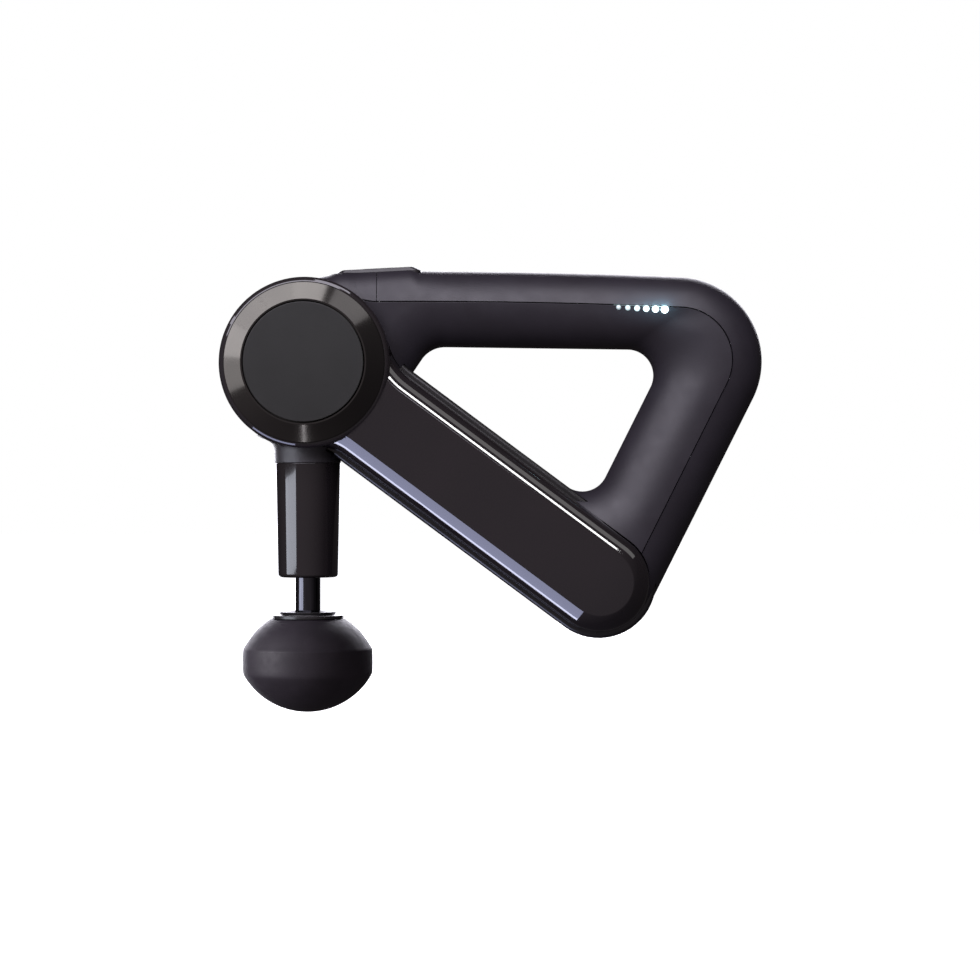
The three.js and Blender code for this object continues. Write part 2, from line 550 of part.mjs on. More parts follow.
function attachment() {
  add("ball_hub", turned([[0, -133], [9, -133], [9, -113.8], [16, -113.8], [16, -112.4], [14.6, -112.4], [13, -112.9],
    [12.2, -112], [12.6, HUB_TOP], [11.4, HUB_TOP], [8, -112], [6.1, -112], [6.1, -129.2], [0, -129.2]], "z", 28),
  FRAME_PLASTIC);
  const domeZ = BALL_BOTTOM + DOME_R;
  const rim = THREE.MathUtils.radToDeg(Math.acos(28.6 / DOME_R));
  const dome = arc(point(0, domeZ), DOME_R, -90, -rim, 7).map((p) => [p.x, p.y]);
  dome[0][0] = 0;
  add("massage_ball", turned([...dome, [BALL_R, -138], [BALL_R + 0.1, -133], [BALL_R, -128], [28.5, -126.2],
    [16.6, -114.4], [15.8, -114.1], [9.3, -114.1], [9.3, -133.3], [0, -133.3]], "z", 32), FOAM);
}

// ---- assembly ----

add("mid_frame", midFrame(), FRAME_PLASTIC);
covers();
caps();
handle();
powerButton();
indicator();
nose();
percussionShaft();
connectingRod();
motor();
electronics();
chargePort();
wiring();
attachment();

screwPlaces.forEach(([x, z], i) => {
  add(`cover_screw_${i + 1}`, screw(14), STEEL).position.set(x, 16.3, z);
});
HANDLE_SCREWS.forEach(([x, z], i) => {
  add(`handle_screw_${i + 1}`, screw(11), STEEL).position.set(x, 8.3, z);
});

export default root;
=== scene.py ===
import json
import math

import bmesh
import bpy
from mathutils import Matrix, Vector


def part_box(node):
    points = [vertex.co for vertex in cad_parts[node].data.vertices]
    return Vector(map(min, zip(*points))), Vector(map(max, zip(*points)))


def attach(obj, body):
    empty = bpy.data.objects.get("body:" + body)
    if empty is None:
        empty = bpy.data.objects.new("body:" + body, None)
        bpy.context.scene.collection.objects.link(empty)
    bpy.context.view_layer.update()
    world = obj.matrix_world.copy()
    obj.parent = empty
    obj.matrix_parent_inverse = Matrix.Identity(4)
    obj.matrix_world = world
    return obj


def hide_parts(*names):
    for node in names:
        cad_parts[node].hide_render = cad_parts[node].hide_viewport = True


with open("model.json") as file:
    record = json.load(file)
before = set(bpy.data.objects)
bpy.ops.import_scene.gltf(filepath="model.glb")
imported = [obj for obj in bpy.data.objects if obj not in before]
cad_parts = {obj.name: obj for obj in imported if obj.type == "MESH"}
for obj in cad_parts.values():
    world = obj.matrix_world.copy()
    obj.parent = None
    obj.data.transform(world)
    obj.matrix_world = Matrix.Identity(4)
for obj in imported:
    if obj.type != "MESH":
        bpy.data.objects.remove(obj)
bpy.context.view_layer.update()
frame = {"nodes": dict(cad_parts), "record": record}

# The looks of a percussive massage gun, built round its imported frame. Shapes are worked out in millimetres in
# the plane of the gun: x from the motor axis towards the handle's corner, z up, and y = 0 on the mid-plane, with
# the front at negative y. to_frame() puts them in the row frame, in metres.

MM = 0.001
MERGE = 1e-6  # metres within which points count as one


def node_box(node):
    """A CAD node's two corners in millimetres, measured from the motor axis and the mid-plane."""
    return [Vector((p.x, p.y - MID_Y, p.z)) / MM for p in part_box(node)]


MID_Y = sum(p.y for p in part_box("mid_frame")) / 2

# ---- driving dimensions ----

# frame and covers
HEAD_R = -node_box("mid_frame")[0].x  # the frame's outline round the motor
COVER_HEAD_R = -node_box("front_cover")[0].x
ARM_HALF = 25.6
COVER_HALF = 22.5
ARM_LENGTH = 162.6
ARM_ANGLE = math.radians(36.6)
UPPER_FILLET = 29
LOWER_FILLET = 16
FRAME_HALF_DEPTH = 12
SHOULDER_HALF_DEPTH = 8.3
COVER_START = 12.3
DRUM_FACE = 25
ARM_FACE = 24.4
COVER_BREAK = 16  # degrees: faces of a cover that meet at more than this stay crisp
# The arm's cover in section, as (inset from the outline, slope in degrees)
ARM_TILTS = ((0.35, 84), (0.75, 80), (1.2, 52), (2.3, 43), (7.5, 28), (8.0, 4), (22.1, 0))
OPENING_R = 24  # hole in either cover, behind its cap
WALL = 2.2
GAP = 0.3  # seam between neighbouring shells
SEAT = 0.04  # between the handle and the body it is pressed on
ARM_SCREWS = (52, 133, 172)  # along the arm
SCREW_HEAD_R = 2.95
SCREW_R = 1.6
VENTS = (110.1, 114.2, 118.3)
VENT_HALF_HEIGHT = 3.4
PLUNGER_WAY_R = 10.2
JACK_R = 5.1

# caps on the head
CAP_FLANGE = 25.3  # depth at which they sit on the covers
CAP_R = 26.5
CAP_FACE = 31
RING_R = 35.6
SPIGOT_OUTER_R = 23.6  # the caps' rims that enter the covers
SPIGOT_INNER_R = 21.6
SLOTS = 24
SLOT_REACH = (13.6, 20.2)
SLOT_HALF_WIDTH = 0.95

# handle
BAR_TOP = 41.8
BAR_CREST_X = 50
BAR_RADIUS = 2700
CORNER_START = 87.5
CORNER_R = 37.8
STRUT_WIDTH = 43.5
SEAM_INSET = 14.4
SPINE_ROUND = 26
SEAM_DEPTH = 15.6  # half depth of the handle at its seam, where it is deepest
SHROUD_END_X = 31.4
HOLE_R = 11.6
HOLE_TOP_NORMAL = 89.24
HOLE_TOP_DISTANCE = 8.72
THROAT_R = 12.6  # rounding of the finger opening near the head
THROAT_X = 61.7
THROAT_END = 146
THROAT_TURN_X = 33  # where the throat has turned all the way
FOOT_SHARE = 0.62  # of the strut, before the opening turns along the arm
FOOT_TURN = 96
HANDLE_ROUND = 21  # width of the rounding into the finger opening
STRUT_ROUND = 4  # how much wider it is on the strut
HANDLE_SCREWS = ((100, 17), (158, -45))

# button and lights
PAD_X, PAD_Z = 31.7, 42.75
PAD_TILT = math.radians(2.97)
PAD_HALF = (19.2, 8.2)
PAD_CORNER_R = 2.6
WINDOW_HALF = (10.3, 4.7)
BUTTON_HALF = (9.95, 4.35)
LIGHTS = 6
FIRST_LIGHT = (139, 24.9)
LIGHT_STEP = (4.1, -0.2)

# nose and attachment
SHAFT_R = 5.75
COLLAR_R = 14.9
COLLAR_BOTTOM = -44.1
COLLAR_FLARE = 6
SPIGOT_R = 13  # the sleeve's neck inside the collar
SLEEVE_BOTTOM = node_box("nose_sleeve")[0].z
BALL_R = node_box("massage_ball")[1].x
BALL_BOTTOM = node_box("massage_ball")[0].z
DOME_R = 33.1
PULL_TRAVEL = 20  # of the ball off the end of the shaft


# ---- plane geometry ----


def smoothstep(low, high, x):
    """0 below low, 1 above high, and a soft step between."""
    t = min(max((x - low) / (high - low), 0), 1)
    return t * t * (3 - 2 * t)


def normal(degrees):
    """The unit vector at an angle."""
    return Vector((math.cos(math.radians(degrees)), math.sin(math.radians(degrees))))


def arc(centre, radius, start, end, steps):
    return [Vector(centre) + radius * normal(start + (end - start) * i / steps) for i in range(steps + 1)]


def line(start, end, steps):
    return [Vector(start).lerp(Vector(end), i / steps) for i in range(steps + 1)]


def rectangle(half_width, bottom, top):
    corners = ((-half_width, bottom), (half_width, bottom), (half_width, top), (-half_width, top))
    return [Vector(p) for p in corners]


def meet(n1, d1, n2, d2):
    """Where the lines p.n1 = d1 and p.n2 = d2 cross."""
    det = n1.x * n2.y - n1.y * n2.x
    return Vector(((d1 * n2.y - d2 * n1.y) / det, (n1.x * d2 - n2.x * d1) / det))


def on_arm(p):
    """A point given along and across the arm, in the plane's x and z."""
    c, s = math.cos(ARM_ANGLE), math.sin(ARM_ANGLE)
    return Vector((p[0] * c + p[1] * s, p[1] * c - p[0] * s))


def gun_outline(head, half, inset=0.0, fine=1):
    """The head circle and the arm's round-ended bar with concave fillets, moved inwards: arm part, head part.

    Outlines of any size have the same number of points, so they can be skinned to each other."""
    r, w = head - inset, half - inset

    def fillet(radius):
        f = radius + inset
        along = math.sqrt((r + f) ** 2 - (w + f) ** 2)
        return f, along, math.degrees(math.atan2(w + f, along))

    f1, along1, angle1 = fillet(UPPER_FILLET)
    f2, along2, angle2 = fillet(LOWER_FILLET)
    arm = arc((along2, -w - f2), f2, 180 - angle2, 90, 10 * fine)
    arm += line((along2, -w), (ARM_LENGTH, -w), 24 * fine)[1:-1]
    arm += arc((ARM_LENGTH, 0), w, -90, 90, 28 * fine)
    arm += line((ARM_LENGTH, w), (along1, w), 24 * fine)[1:-1]
    arm += arc((along1, w + f1), f1, 270, 180 + angle1, 12 * fine)
    round_head = arc((0, 0), r, angle1, 360 - angle2, 64 * fine)[1:-1]
    return [on_arm(p) for p in arm], [on_arm(p) for p in round_head]


ARM_END = on_arm((ARM_LENGTH, 0))

# ---- meshes ----


def to_frame(x, y, z):
    """From millimetres round the motor axis to the row frame's metres."""
    return Vector((x * MM, MID_Y + y * MM, z * MM))


def place_object(name, data):
    obj = bpy.data.objects.new(name, data)
    bpy.context.scene.collection.objects.link(obj)
    return obj


def raw_mesh(name, points, faces):
    mesh = bpy.data.meshes.new(name)
    mesh.from_pydata([to_frame(*p) for p in points], [], faces)
    return place_object(name, mesh)


def mesh_object(name, points, faces):
    obj = raw_mesh(name, points, faces)
    clean(obj)
    return obj


def clean(obj):
    """Merges what coincides and turns the faces outwards."""
    b = bmesh.new()
    b.from_mesh(obj.data)
    bmesh.ops.remove_doubles(b, verts=b.verts, dist=MERGE)
    bmesh.ops.dissolve_degenerate(b, edges=b.edges, dist=MERGE)
    bmesh.ops.recalc_face_normals(b, faces=b.faces)
    b.to_mesh(obj.data)
    b.free()


def apply_modifiers(obj):
    """Replaces the mesh by what its modifiers make of it."""
    bpy.context.view_layer.update()
    done = bpy.data.meshes.new_from_object(obj.evaluated_get(bpy.context.evaluated_depsgraph_get()))
    obj.modifiers.clear()
    obj.data = done
    return obj


def add_bevel(obj, width):
    """Rounds every edge sharper than 50 degrees."""
    bevel = obj.modifiers.new("edges", "BEVEL")
    bevel.width = width * MM
    bevel.segments = 2
    bevel.limit_method = "ANGLE"
    bevel.angle_limit = math.radians(50)


def bevel_edges(obj, width):
    add_bevel(obj, width)
    return apply_modifiers(obj)


def thicken(obj, edge):
    """Turns an open skin into a closed shell, with its cut edges rounded."""
    shell = obj.modifiers.new("shell", "SOLIDIFY")
    shell.thickness = WALL * MM
    shell.offset = -1
    add_bevel(obj, edge)
    return apply_modifiers(obj)


def combine(obj, operation, others):
    """Joins or cuts with other solids, which are used up."""
    for other in others:
        step = obj.modifiers.new("boolean", "BOOLEAN")
        step.operation = operation
        step.solver = "MANIFOLD"
        step.object = other
        apply_modifiers(obj)
        bpy.data.objects.remove(other)
    return obj


def smooth(obj, angle=35):
    """Smooth shading: wide faces keep their own direction, and the narrow roundings take up the bend."""
    obj.data.shade_smooth()
    obj.data.set_sharp_from_angle(angle=math.radians(angle))
    even = obj.modifiers.new("normals", "WEIGHTED_NORMAL")
    even.keep_sharp = True
    return apply_modifiers(obj)


def skin(sections, wrap=False, caps=False):
    """Points and faces of a surface through closed sections that have the same number of 3-D points."""
    count = len(sections[0])
    points = [p for section in sections for p in section]
    rows = len(sections)
    faces = []
    for i in range(rows if wrap else rows - 1):
        a, b = i * count, (i + 1) % rows * count
        for j in range(count):
            k = (j + 1) % count
            faces.append((a + j, a + k, b + k, b + j))
    if caps:
        faces.append(tuple(range(count)))
        faces.append(tuple(range((rows - 1) * count, rows * count)))
    return points, faces


def turned(name, profile, axis, segments=96):
    """A closed profile of (radius, height) turned round the x = z = 0 line along y, or round z."""
    sections = []
    for i in range(segments):
        d = normal(360 * i / segments)
        if axis == "y":
            sections.append([(r * d.x, h, r * d.y) for r, h in profile])
        else:
            sections.append([(r * d.x, r * d.y, h) for r, h in profile])
    return smooth(mesh_object(name, *skin(sections, wrap=True)))


def slab(name, outline, front, rear):
    """An outline in x and z, extruded between two depths."""
    sections = [[(p.x, y, p.y) for p in outline] for y in (front, rear)]
    return mesh_object(name, *skin(sections, caps=True))


def cylinder(name, centre, radius, low, high, axis, segments=32):
    """A plain cutter."""
    sections = []
    for h in (low, high):
        ring = arc((0, 0), radius, 0, 360 - 360 / segments, segments - 1)
        if axis == "y":
            sections.append([(centre[0] + p.x, h, centre[1] + p.y) for p in ring])
        else:
            sections.append([(centre[0] + p.x, p.y, h) for p in ring])
    return mesh_object(name, *skin(sections, caps=True))


def fillet_profile(corners):
    """A profile through (radius, height, rounding) corners, with an arc of six points at each rounded one."""
    steps = 5
    points = []
    n = len(corners)
    for i, (x, y, r) in enumerate(corners):
        here = Vector((x, y))
        if not r:
            points.append((x, y))
            continue
        before = (Vector(corners[i - 1][:2]) - here).normalized()
        after = (Vector(corners[(i + 1) % n][:2]) - here).normalized()
        half = before.angle(after) / 2
        reach = r / math.tan(half)
        centre = here + (before + after).normalized() * (r / math.sin(half))
        start = here + before * reach - centre
        turn = start.angle_signed(here + after * reach - centre)
        first = math.atan2(start.y, start.x)
        for k in range(steps + 1):
            a = first - turn * k / steps
            points.append((centre.x + r * math.cos(a), centre.y + r * math.sin(a)))
    return points


# ---- materials ----


def srgb(r, g, b):
    """A linear colour from 0-255 display values."""
    def one(v):
        v /= 255
        return v / 12.92 if v <= 0.04045 else ((v + 0.055) / 1.055) ** 2.4
    return one(r), one(g), one(b), 1.0


def new_material(name):
    m = bpy.data.materials.new(name)
    m.use_nodes = True
    return m, m.node_tree, m.node_tree.nodes["Principled BSDF"]


def set_inputs(node, values):
    for key, value in values.items():
        node.inputs[key.replace("_", " ")].default_value = value


def add_node(tree, kind, inputs=None, **settings):
    node = tree.nodes.new(kind)
    for key, value in settings.items():
        setattr(node, key, value)
    set_inputs(node, inputs or {})
    return node


def noise(tree, size, detail=2.0, stretch=(1, 1, 1)):
    """Noise whose features are about size millimetres across."""
    place = add_node(tree, "ShaderNodeTexCoord")
    mapping = add_node(tree, "ShaderNodeMapping", {"Scale": stretch})
    tree.links.new(place.outputs["Object"], mapping.inputs["Vector"])
    texture = add_node(tree, "ShaderNodeTexNoise", {"Scale": 1 / (size * MM), "Detail": detail})
    tree.links.new(mapping.outputs["Vector"], texture.inputs["Vector"])
    return texture.outputs["Fac"]


def spread(tree, source, low, high):
    """Maps noise, which keeps near its middle, onto low to high."""
    limits = {"From Min": 0.3, "From Max": 0.7, "To Min": low, "To Max": high}
    node = add_node(tree, "ShaderNodeMapRange", limits)
    tree.links.new(source, node.inputs["Value"])
    return node.outputs["Result"]


def tint(tree, source, dark, light):
    """A mix of two linear colours."""
    node = add_node(tree, "ShaderNodeMix", data_type="RGBA")
    node.inputs["A"].default_value = dark
    node.inputs["B"].default_value = light
    tree.links.new(source, node.inputs["Factor"])
    return node.outputs["Result"]


def bump(tree, shader, source, height):
    """Relief of the given height in millimetres."""
    node = add_node(tree, "ShaderNodeBump", {"Strength": 1.0, "Distance": height * MM})
    tree.links.new(source, node.inputs["Height"])
    tree.links.new(node.outputs["Normal"], shader.inputs["Normal"])


def moulded(name, dark, light, rough, grain, relief, patch=14.0, **sockets):
    """A moulded or machined surface: two close shades in soft patches, uneven roughness and a fine grain."""
    m, tree, shader = new_material(name)
    patches = spread(tree, noise(tree, patch), 0, 1)
    tree.links.new(tint(tree, patches, srgb(*dark), srgb(*light)), shader.inputs["Base Color"])
    tree.links.new(spread(tree, noise(tree, patch / 3, 4), *rough), shader.inputs["Roughness"])
    bump(tree, shader, noise(tree, grain, 3), relief)
    set_inputs(shader, sockets)
    return m


def brushed(name, dark, light, rough, stretch, **sockets):
    """Metal with fine lines along one axis."""
    m, tree, shader = new_material(name)
    lines = noise(tree, 1.2, 3, stretch)
    shade = tint(tree, spread(tree, lines, 0, 1), srgb(*dark), srgb(*light))
    tree.links.new(shade, shader.inputs["Base Color"])
    tree.links.new(spread(tree, lines, *rough), shader.inputs["Roughness"])
    bump(tree, shader, lines, 0.004)
    shader.inputs["Metallic"].default_value = 1.0
    set_inputs(shader, sockets)
    return m


def glowing(name, strength):
    """A frosted light pipe that shines evenly but for faint clouds."""
    m = moulded(name, (205, 214, 218), (222, 230, 233), (0.3, 0.4), 0.3, 0.004, Emission_Strength=strength)
    tree = m.node_tree
    clouds = spread(tree, noise(tree, 0.9), 0, 1)
    glow = tint(tree, clouds, srgb(205, 246, 255), srgb(232, 252, 255))
    tree.links.new(glow, tree.nodes["Principled BSDF"].inputs["Emission Color"])
    return m


GLOSS = moulded("piano_black", (26, 23, 25), (30, 26, 28), (0.035, 0.06), 9.0, 0.004, patch=40,
                Coat_Weight=0.5, Coat_Roughness=0.02)
GRAPHITE = moulded("graphite_paint", (74, 72, 72), (82, 80, 79), (0.13, 0.17), 0.3, 0.0006, patch=30,
                   Metallic=0.85, Coat_Weight=0.3, Coat_Roughness=0.08)
SATIN = moulded("satin_cap", (28, 29, 27), (32, 33, 31), (0.42, 0.5), 0.18, 0.004, patch=30,
               Specular_IOR_Level=0.36)
SOFT = moulded("soft_touch", (37, 34, 40), (41, 38, 45), (0.42, 0.5), 0.22, 0.01, patch=22)
FRAME = moulded("frame_plastic", (24, 23, 24), (31, 29, 30), (0.26, 0.32), 0.6, 0.002)
COLLAR = moulded("collar_plastic", (38, 36, 39), (44, 41, 44), (0.42, 0.52), 0.2, 0.01)
RUBBER = moulded("black_rubber", (22, 22, 23), (28, 27, 28), (0.6, 0.75), 0.3, 0.012)
FOAM = moulded("dense_foam", (50, 46, 54), (57, 52, 61), (0.5, 0.62), 0.45, 0.025, patch=9)
CHROME = brushed("dark_chrome", (70, 70, 76), (84, 84, 90), (0.06, 0.14), (1, 1, 0.05))
STEEL = brushed("machined_steel", (150, 152, 156), (185, 187, 190), (0.22, 0.4), (1, 0.1, 1))
BRONZE = moulded("sintered_bronze", (138, 98, 52), (168, 124, 70), (0.38, 0.5), 0.15, 0.01, Metallic=1.0)
ALUMINIUM = brushed("machined_aluminium", (176, 178, 180), (206, 208, 210), (0.25, 0.42), (1, 0.2, 1))
COPPER = brushed("copper_winding", (120, 62, 28), (176, 98, 50), (0.3, 0.45), (0.25, 1, 1))
MAGNET = moulded("nickel_magnet", (128, 130, 134), (150, 151, 154), (0.2, 0.35), 0.2, 0.003, Metallic=1.0)
BOARD = moulded("solder_mask", (16, 66, 38), (22, 84, 50), (0.35, 0.5), 0.5, 0.02, patch=4)
WRAP = moulded("cell_wrap", (26, 78, 130), (32, 92, 148), (0.3, 0.42), 0.8, 0.01)
WIRE = moulded("wire_jacket", (122, 22, 22), (140, 30, 28), (0.42, 0.55), 0.3, 0.01)
LENS = moulded("led_diffuser", (205, 214, 218), (222, 230, 233), (0.3, 0.4), 0.3, 0.004)

SLOT_MATERIALS = {
    "gloss_shell": GLOSS, "graphite_ring": GRAPHITE, "satin_cap": SATIN, "soft_touch": SOFT,
    "frame_plastic": FRAME, "black_rubber": RUBBER, "foam": FOAM, "dark_chrome": CHROME, "steel": STEEL,
    "bronze": BRONZE, "bare_aluminium": ALUMINIUM, "copper_winding": COPPER, "magnet": MAGNET,
    "circuit_board": BOARD, "cell_wrap": WRAP, "led_lens": LENS, "wire_jacket": WIRE,
}
PIECES = {}
NODE_SLOTS = {s["node"]: s["material_slot"] for s in frame["record"]["subparts"]}


def finish_piece(obj, material, node, body="housing"):
    """Gives a piece its material and its body, and lets it stand for its CAD node."""
    obj.data.materials.clear()
    obj.data.materials.append(material)
    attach(obj, body)
    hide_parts(node)
    PIECES[node] = obj


def finish_frame_nodes():
    """The pieces that keep their CAD shape get the material of their slot."""
    for name, obj in frame["nodes"].items():
        obj.data.materials.clear()
        obj.data.materials.append(SLOT_MATERIALS[NODE_SLOTS[name]])
        obj.data.shade_smooth()
        obj.data.set_sharp_from_angle(angle=math.radians(30))


# ---- frame and covers ----


def gun_sections(stations):
    """Closed outlines at (head radius, arm half width, depth) stations, as sections to skin."""
    sections = []
    for head, half, y in stations:
        arm, head_part = gun_outline(head, half)
        sections.append([(p.x, y, p.y) for p in arm + head_part])
    return sections


def gun_cutter(name, head, half, depth, fine=1):
    """The head and arm's outline, extruded to both sides of the mid-plane."""
    arm, head_part = gun_outline(head, half, fine=fine)
    return slab(name, arm + head_part, -depth, depth)


def mid_frame():
    """The band between the covers: a proud shoulder with a soft edge, and a narrower neck under each cover."""
    soft = 1.9
    rear = []
    for t in range(0, 91, 15):
        a, b = soft * (1 - math.cos(math.radians(t))), soft * (1 - math.sin(math.radians(t)))
        rear.append((0.35 * a, a, SHOULDER_HALF_DEPTH - b))
    step = ARM_HALF - COVER_HALF
    rear += [(0.85, step - 0.2, SHOULDER_HALF_DEPTH), (1.05, step + 0.25, SHOULDER_HALF_DEPTH + 0.4),
             (1.05, step + 0.25, FRAME_HALF_DEPTH)]
    front = [(head, arm, -y) for head, arm, y in reversed(rear)]
    inner = [(head + WALL, arm + WALL, y) for head, arm, y in (rear[-1], (0, soft, 0), front[0])]
    stations = [(HEAD_R - head, ARM_HALF - arm, y) for head, arm, y in front + rear + inner]
    obj = mesh_object("mid_frame_band", *skin(gun_sections(stations), wrap=True))
    cutters = [vent_cutter(along) for along in VENTS]
    cutters.append(cylinder("plunger_way", (0, 0), PLUNGER_WAY_R, -50, -28, "z", 48))
    cutters.append(cylinder("jack_hole", (ARM_END.x, 0), JACK_R, -140, -100, "z", 48))
    combine(obj, "DIFFERENCE", cutters)
    finish_piece(smooth(obj), FRAME, "mid_frame")


def vent_cutter(along):
    """A round-ended notch across the arm's lower edge."""
    notch = [on_arm((along + p.y * 0.85, p.x - ARM_HALF))
             for p in arc((0, 0), 1.5, 90, 270, 8) + arc((2.0, 0), 1.5, -90, 90, 8)]
    return slab("vent", notch, -VENT_HALF_HEIGHT, VENT_HALF_HEIGHT)


def arm_tilt(inset):
    """Slope of the arm's cover: a steep wall, a soft edge, a wide bowed chamfer and a nearly flat face."""
    for (start, steep), (end, shallow) in zip(ARM_TILTS, ARM_TILTS[1:]):
        if inset <= end:
            return steep + (shallow - steep) * (inset - start) / (end - start)
    return 0


def arm_loops():
    """The cover's height at growing insets, found by adding up its slope from the middle outwards."""
    insets = [ARM_TILTS[0][0]]
    for (start, _), (end, _) in zip(ARM_TILTS, ARM_TILTS[1:]):
        count = 8 if end - start > 3 else 5
        insets += [start + (end - start) * (i + 1) / count for i in range(count)]
    slices = 12
    heights = [ARM_FACE]
    for here, outer in zip(insets[:0:-1], insets[-2::-1]):
        fine = [outer + (here - outer) * (i + 0.5) / slices for i in range(slices)]
        drop = sum(math.tan(math.radians(arm_tilt(f))) for f in fine) * (here - outer) / slices
        heights.append(heights[-1] - drop)
    return [(0, COVER_START), (0, COVER_START + 0.6)] + list(zip(insets, reversed(heights)))


def arm_shell(name, side):
    """The chamfered bar of a cover, open behind the head's cap."""
    loops = arm_loops()
    head = COVER_HEAD_R - 0.5
    points, faces, rows = [], [], []
    for inset, y in loops:
        whole = head - inset >= OPENING_R
        arm, head_part = gun_outline(head if whole else OPENING_R + inset, COVER_HALF, inset)
        flat = arm + (head_part if whole else [])
        rows.append((len(points), len(arm), len(flat)))
        points += [(p.x, side * y, p.y) for p in flat]
    for (a, arm_a, all_a), (b, _, all_b) in zip(rows, rows[1:]):
        closed = all_a == all_b and all_a > arm_a
        count = all_a if closed else arm_a
        for j in range(count if closed else count - 1):
            k = (j + 1) % count
            faces.append((a + j, a + k, b + k, b + j))
    first, arm_count, _ = rows[-1]
    start, end = [Vector((points[i][0], points[i][2])) for i in (first + arm_count - 1, first)]
    sweep = math.degrees(start.angle_signed(end))
    mouth = arc((0, 0), OPENING_R, math.degrees(math.atan2(start.y, start.x)),
                math.degrees(math.atan2(start.y, start.x)) - sweep, 16)[1:-1]
    depth = points[first][1]
    points += [(p.x, depth, p.y) for p in mouth]
    faces.append(tuple(range(first, first + arm_count)) + tuple(range(len(points) - len(mouth), len(points))))
    return thicken(mesh_object(name, points, faces), 0.15)


def drum(name, side):
    """The cover's round part over the motor."""
    profile = fillet_profile([
        (OPENING_R, side * (DRUM_FACE - WALL), 0), (OPENING_R, side * DRUM_FACE, 0),
        (COVER_HEAD_R, side * DRUM_FACE, 2.4), (COVER_HEAD_R, side * COVER_START, 0.25),
        (COVER_HEAD_R - WALL, side * COVER_START, 0), (COVER_HEAD_R - WALL, side * (DRUM_FACE - WALL), 0)])
    return turned(name, profile, "y", 128)


def cut_screw_wells(obj, places, bottom):
    """A counterbore from the back for each screw, and its pilot hole."""
    combine(obj, "DIFFERENCE", [cylinder("counterbore", p, SCREW_HEAD_R, bottom, 40, "y") for p in places])
    combine(obj, "DIFFERENCE", [cylinder("pilot", p, SCREW_R, 0, 20, "y") for p in places])


def front_cover():
    obj = combine(drum("front_gloss_cover", -1), "UNION", [arm_shell("front_arm", -1)])
    finish_piece(smooth(obj, COVER_BREAK), GLOSS, "front_cover")


def rear_cover():
    obj = combine(drum("rear_gloss_cover", 1), "UNION", [arm_shell("rear_arm", 1)])
    places = [on_arm((along, 0)) for along in ARM_SCREWS]
    combine(obj, "UNION", [cylinder("boss", p, 4.2, 14, ARM_FACE - 0.8, "y") for p in places])
    cut_screw_wells(obj, places, 15.9)
    finish_piece(smooth(obj, COVER_BREAK), GLOSS, "rear_cover")


def bezel_ring():
    inner = CAP_R + 0.35
    profile = fillet_profile([
        (inner, -CAP_FLANGE, 0), (RING_R, -CAP_FLANGE, 0), (RING_R, -25.75, 0.15), (RING_R - 0.4, -26.1, 0.3),
        (27.6, -30.55, 0.35), (inner, -30.45, 0.2)])
    finish_piece(turned("bezel_ring", profile, "y", 160), GRAPHITE, "front_bezel_ring")


def front_cap():
    profile = fillet_profile([
        (0.01, -CAP_FACE, 0), (CAP_R, -CAP_FACE, 0.45), (CAP_R, -CAP_FLANGE, 0),
        (SPIGOT_OUTER_R, -CAP_FLANGE, 0), (SPIGOT_OUTER_R, -22, 0.3), (SPIGOT_INNER_R, -22, 0.3),
        (SPIGOT_INNER_R, -28.2, 0), (0.01, -28.2, 0)])
    finish_piece(turned("front_cap_disc", profile, "y", 160), SATIN, "front_cap")


def slot_cutter(degrees):
    """A round-ended slot of the rear cap, pointing away from its middle."""
    inner, outer = SLOT_REACH
    outline = arc((outer, 0), SLOT_HALF_WIDTH, -90, 90, 8) + arc((inner, 0), SLOT_HALF_WIDTH, 90, 270, 8)
    c, s = math.cos(math.radians(degrees)), math.sin(math.radians(degrees))
    return slab("slot", [Vector((p.x * c - p.y * s, p.x * s + p.y * c)) for p in outline], 20, 40)


def rear_cap():
    profile = fillet_profile([
        (0.01, CAP_FACE, 0), (26.4, CAP_FACE, 1.2), (35.4, 26.4, 0.5), (RING_R, CAP_FLANGE, 0),
        (SPIGOT_OUTER_R, CAP_FLANGE, 0), (SPIGOT_OUTER_R, 23, 0.3), (SPIGOT_INNER_R, 23, 0.3),
        (SPIGOT_INNER_R, 28.4, 0), (0.01, 28.4, 0)])
    obj = turned("rear_vent_cap", profile, "y", 160)
    combine(obj, "DIFFERENCE", [slot_cutter(360 / SLOTS * i) for i in range(SLOTS)])
    finish_piece(smooth(bevel_edges(obj, 0.12)), SATIN, "rear_cap")


# ---- handle ----


def bar_z(x):
    """Height of the top bar's crest, with its fall to the head at the left."""
    return BAR_TOP - (x - BAR_CREST_X) ** 2 / (2 * BAR_RADIUS) - 3.3 * max(0, 1 - x / 22) ** 1.2


def plinth(x):
    """How far the crest rises under the button pad."""
    pad_top = PAD_Z + math.tan(PAD_TILT) * (x - PAD_X) - 0.25
    return max(0, pad_top - bar_z(x)) * smoothstep(9, 16, x) * (1 - smoothstep(45.5, 51.5, x))


def strut_direction():
    """Centre of the outer corner, and the normal of the line that touches it and the arm's round end."""
    corner_centre = normal(CORNER_START) * (BAR_RADIUS - CORNER_R) + Vector((BAR_CREST_X, BAR_TOP - BAR_RADIUS))
    away = corner_centre - ARM_END
    turn = math.acos((ARM_HALF - CORNER_R) / away.length)
    return corner_centre, math.degrees(math.atan2(away.y, away.x) - turn)


CORNER, STRUT_NORMAL = strut_direction()


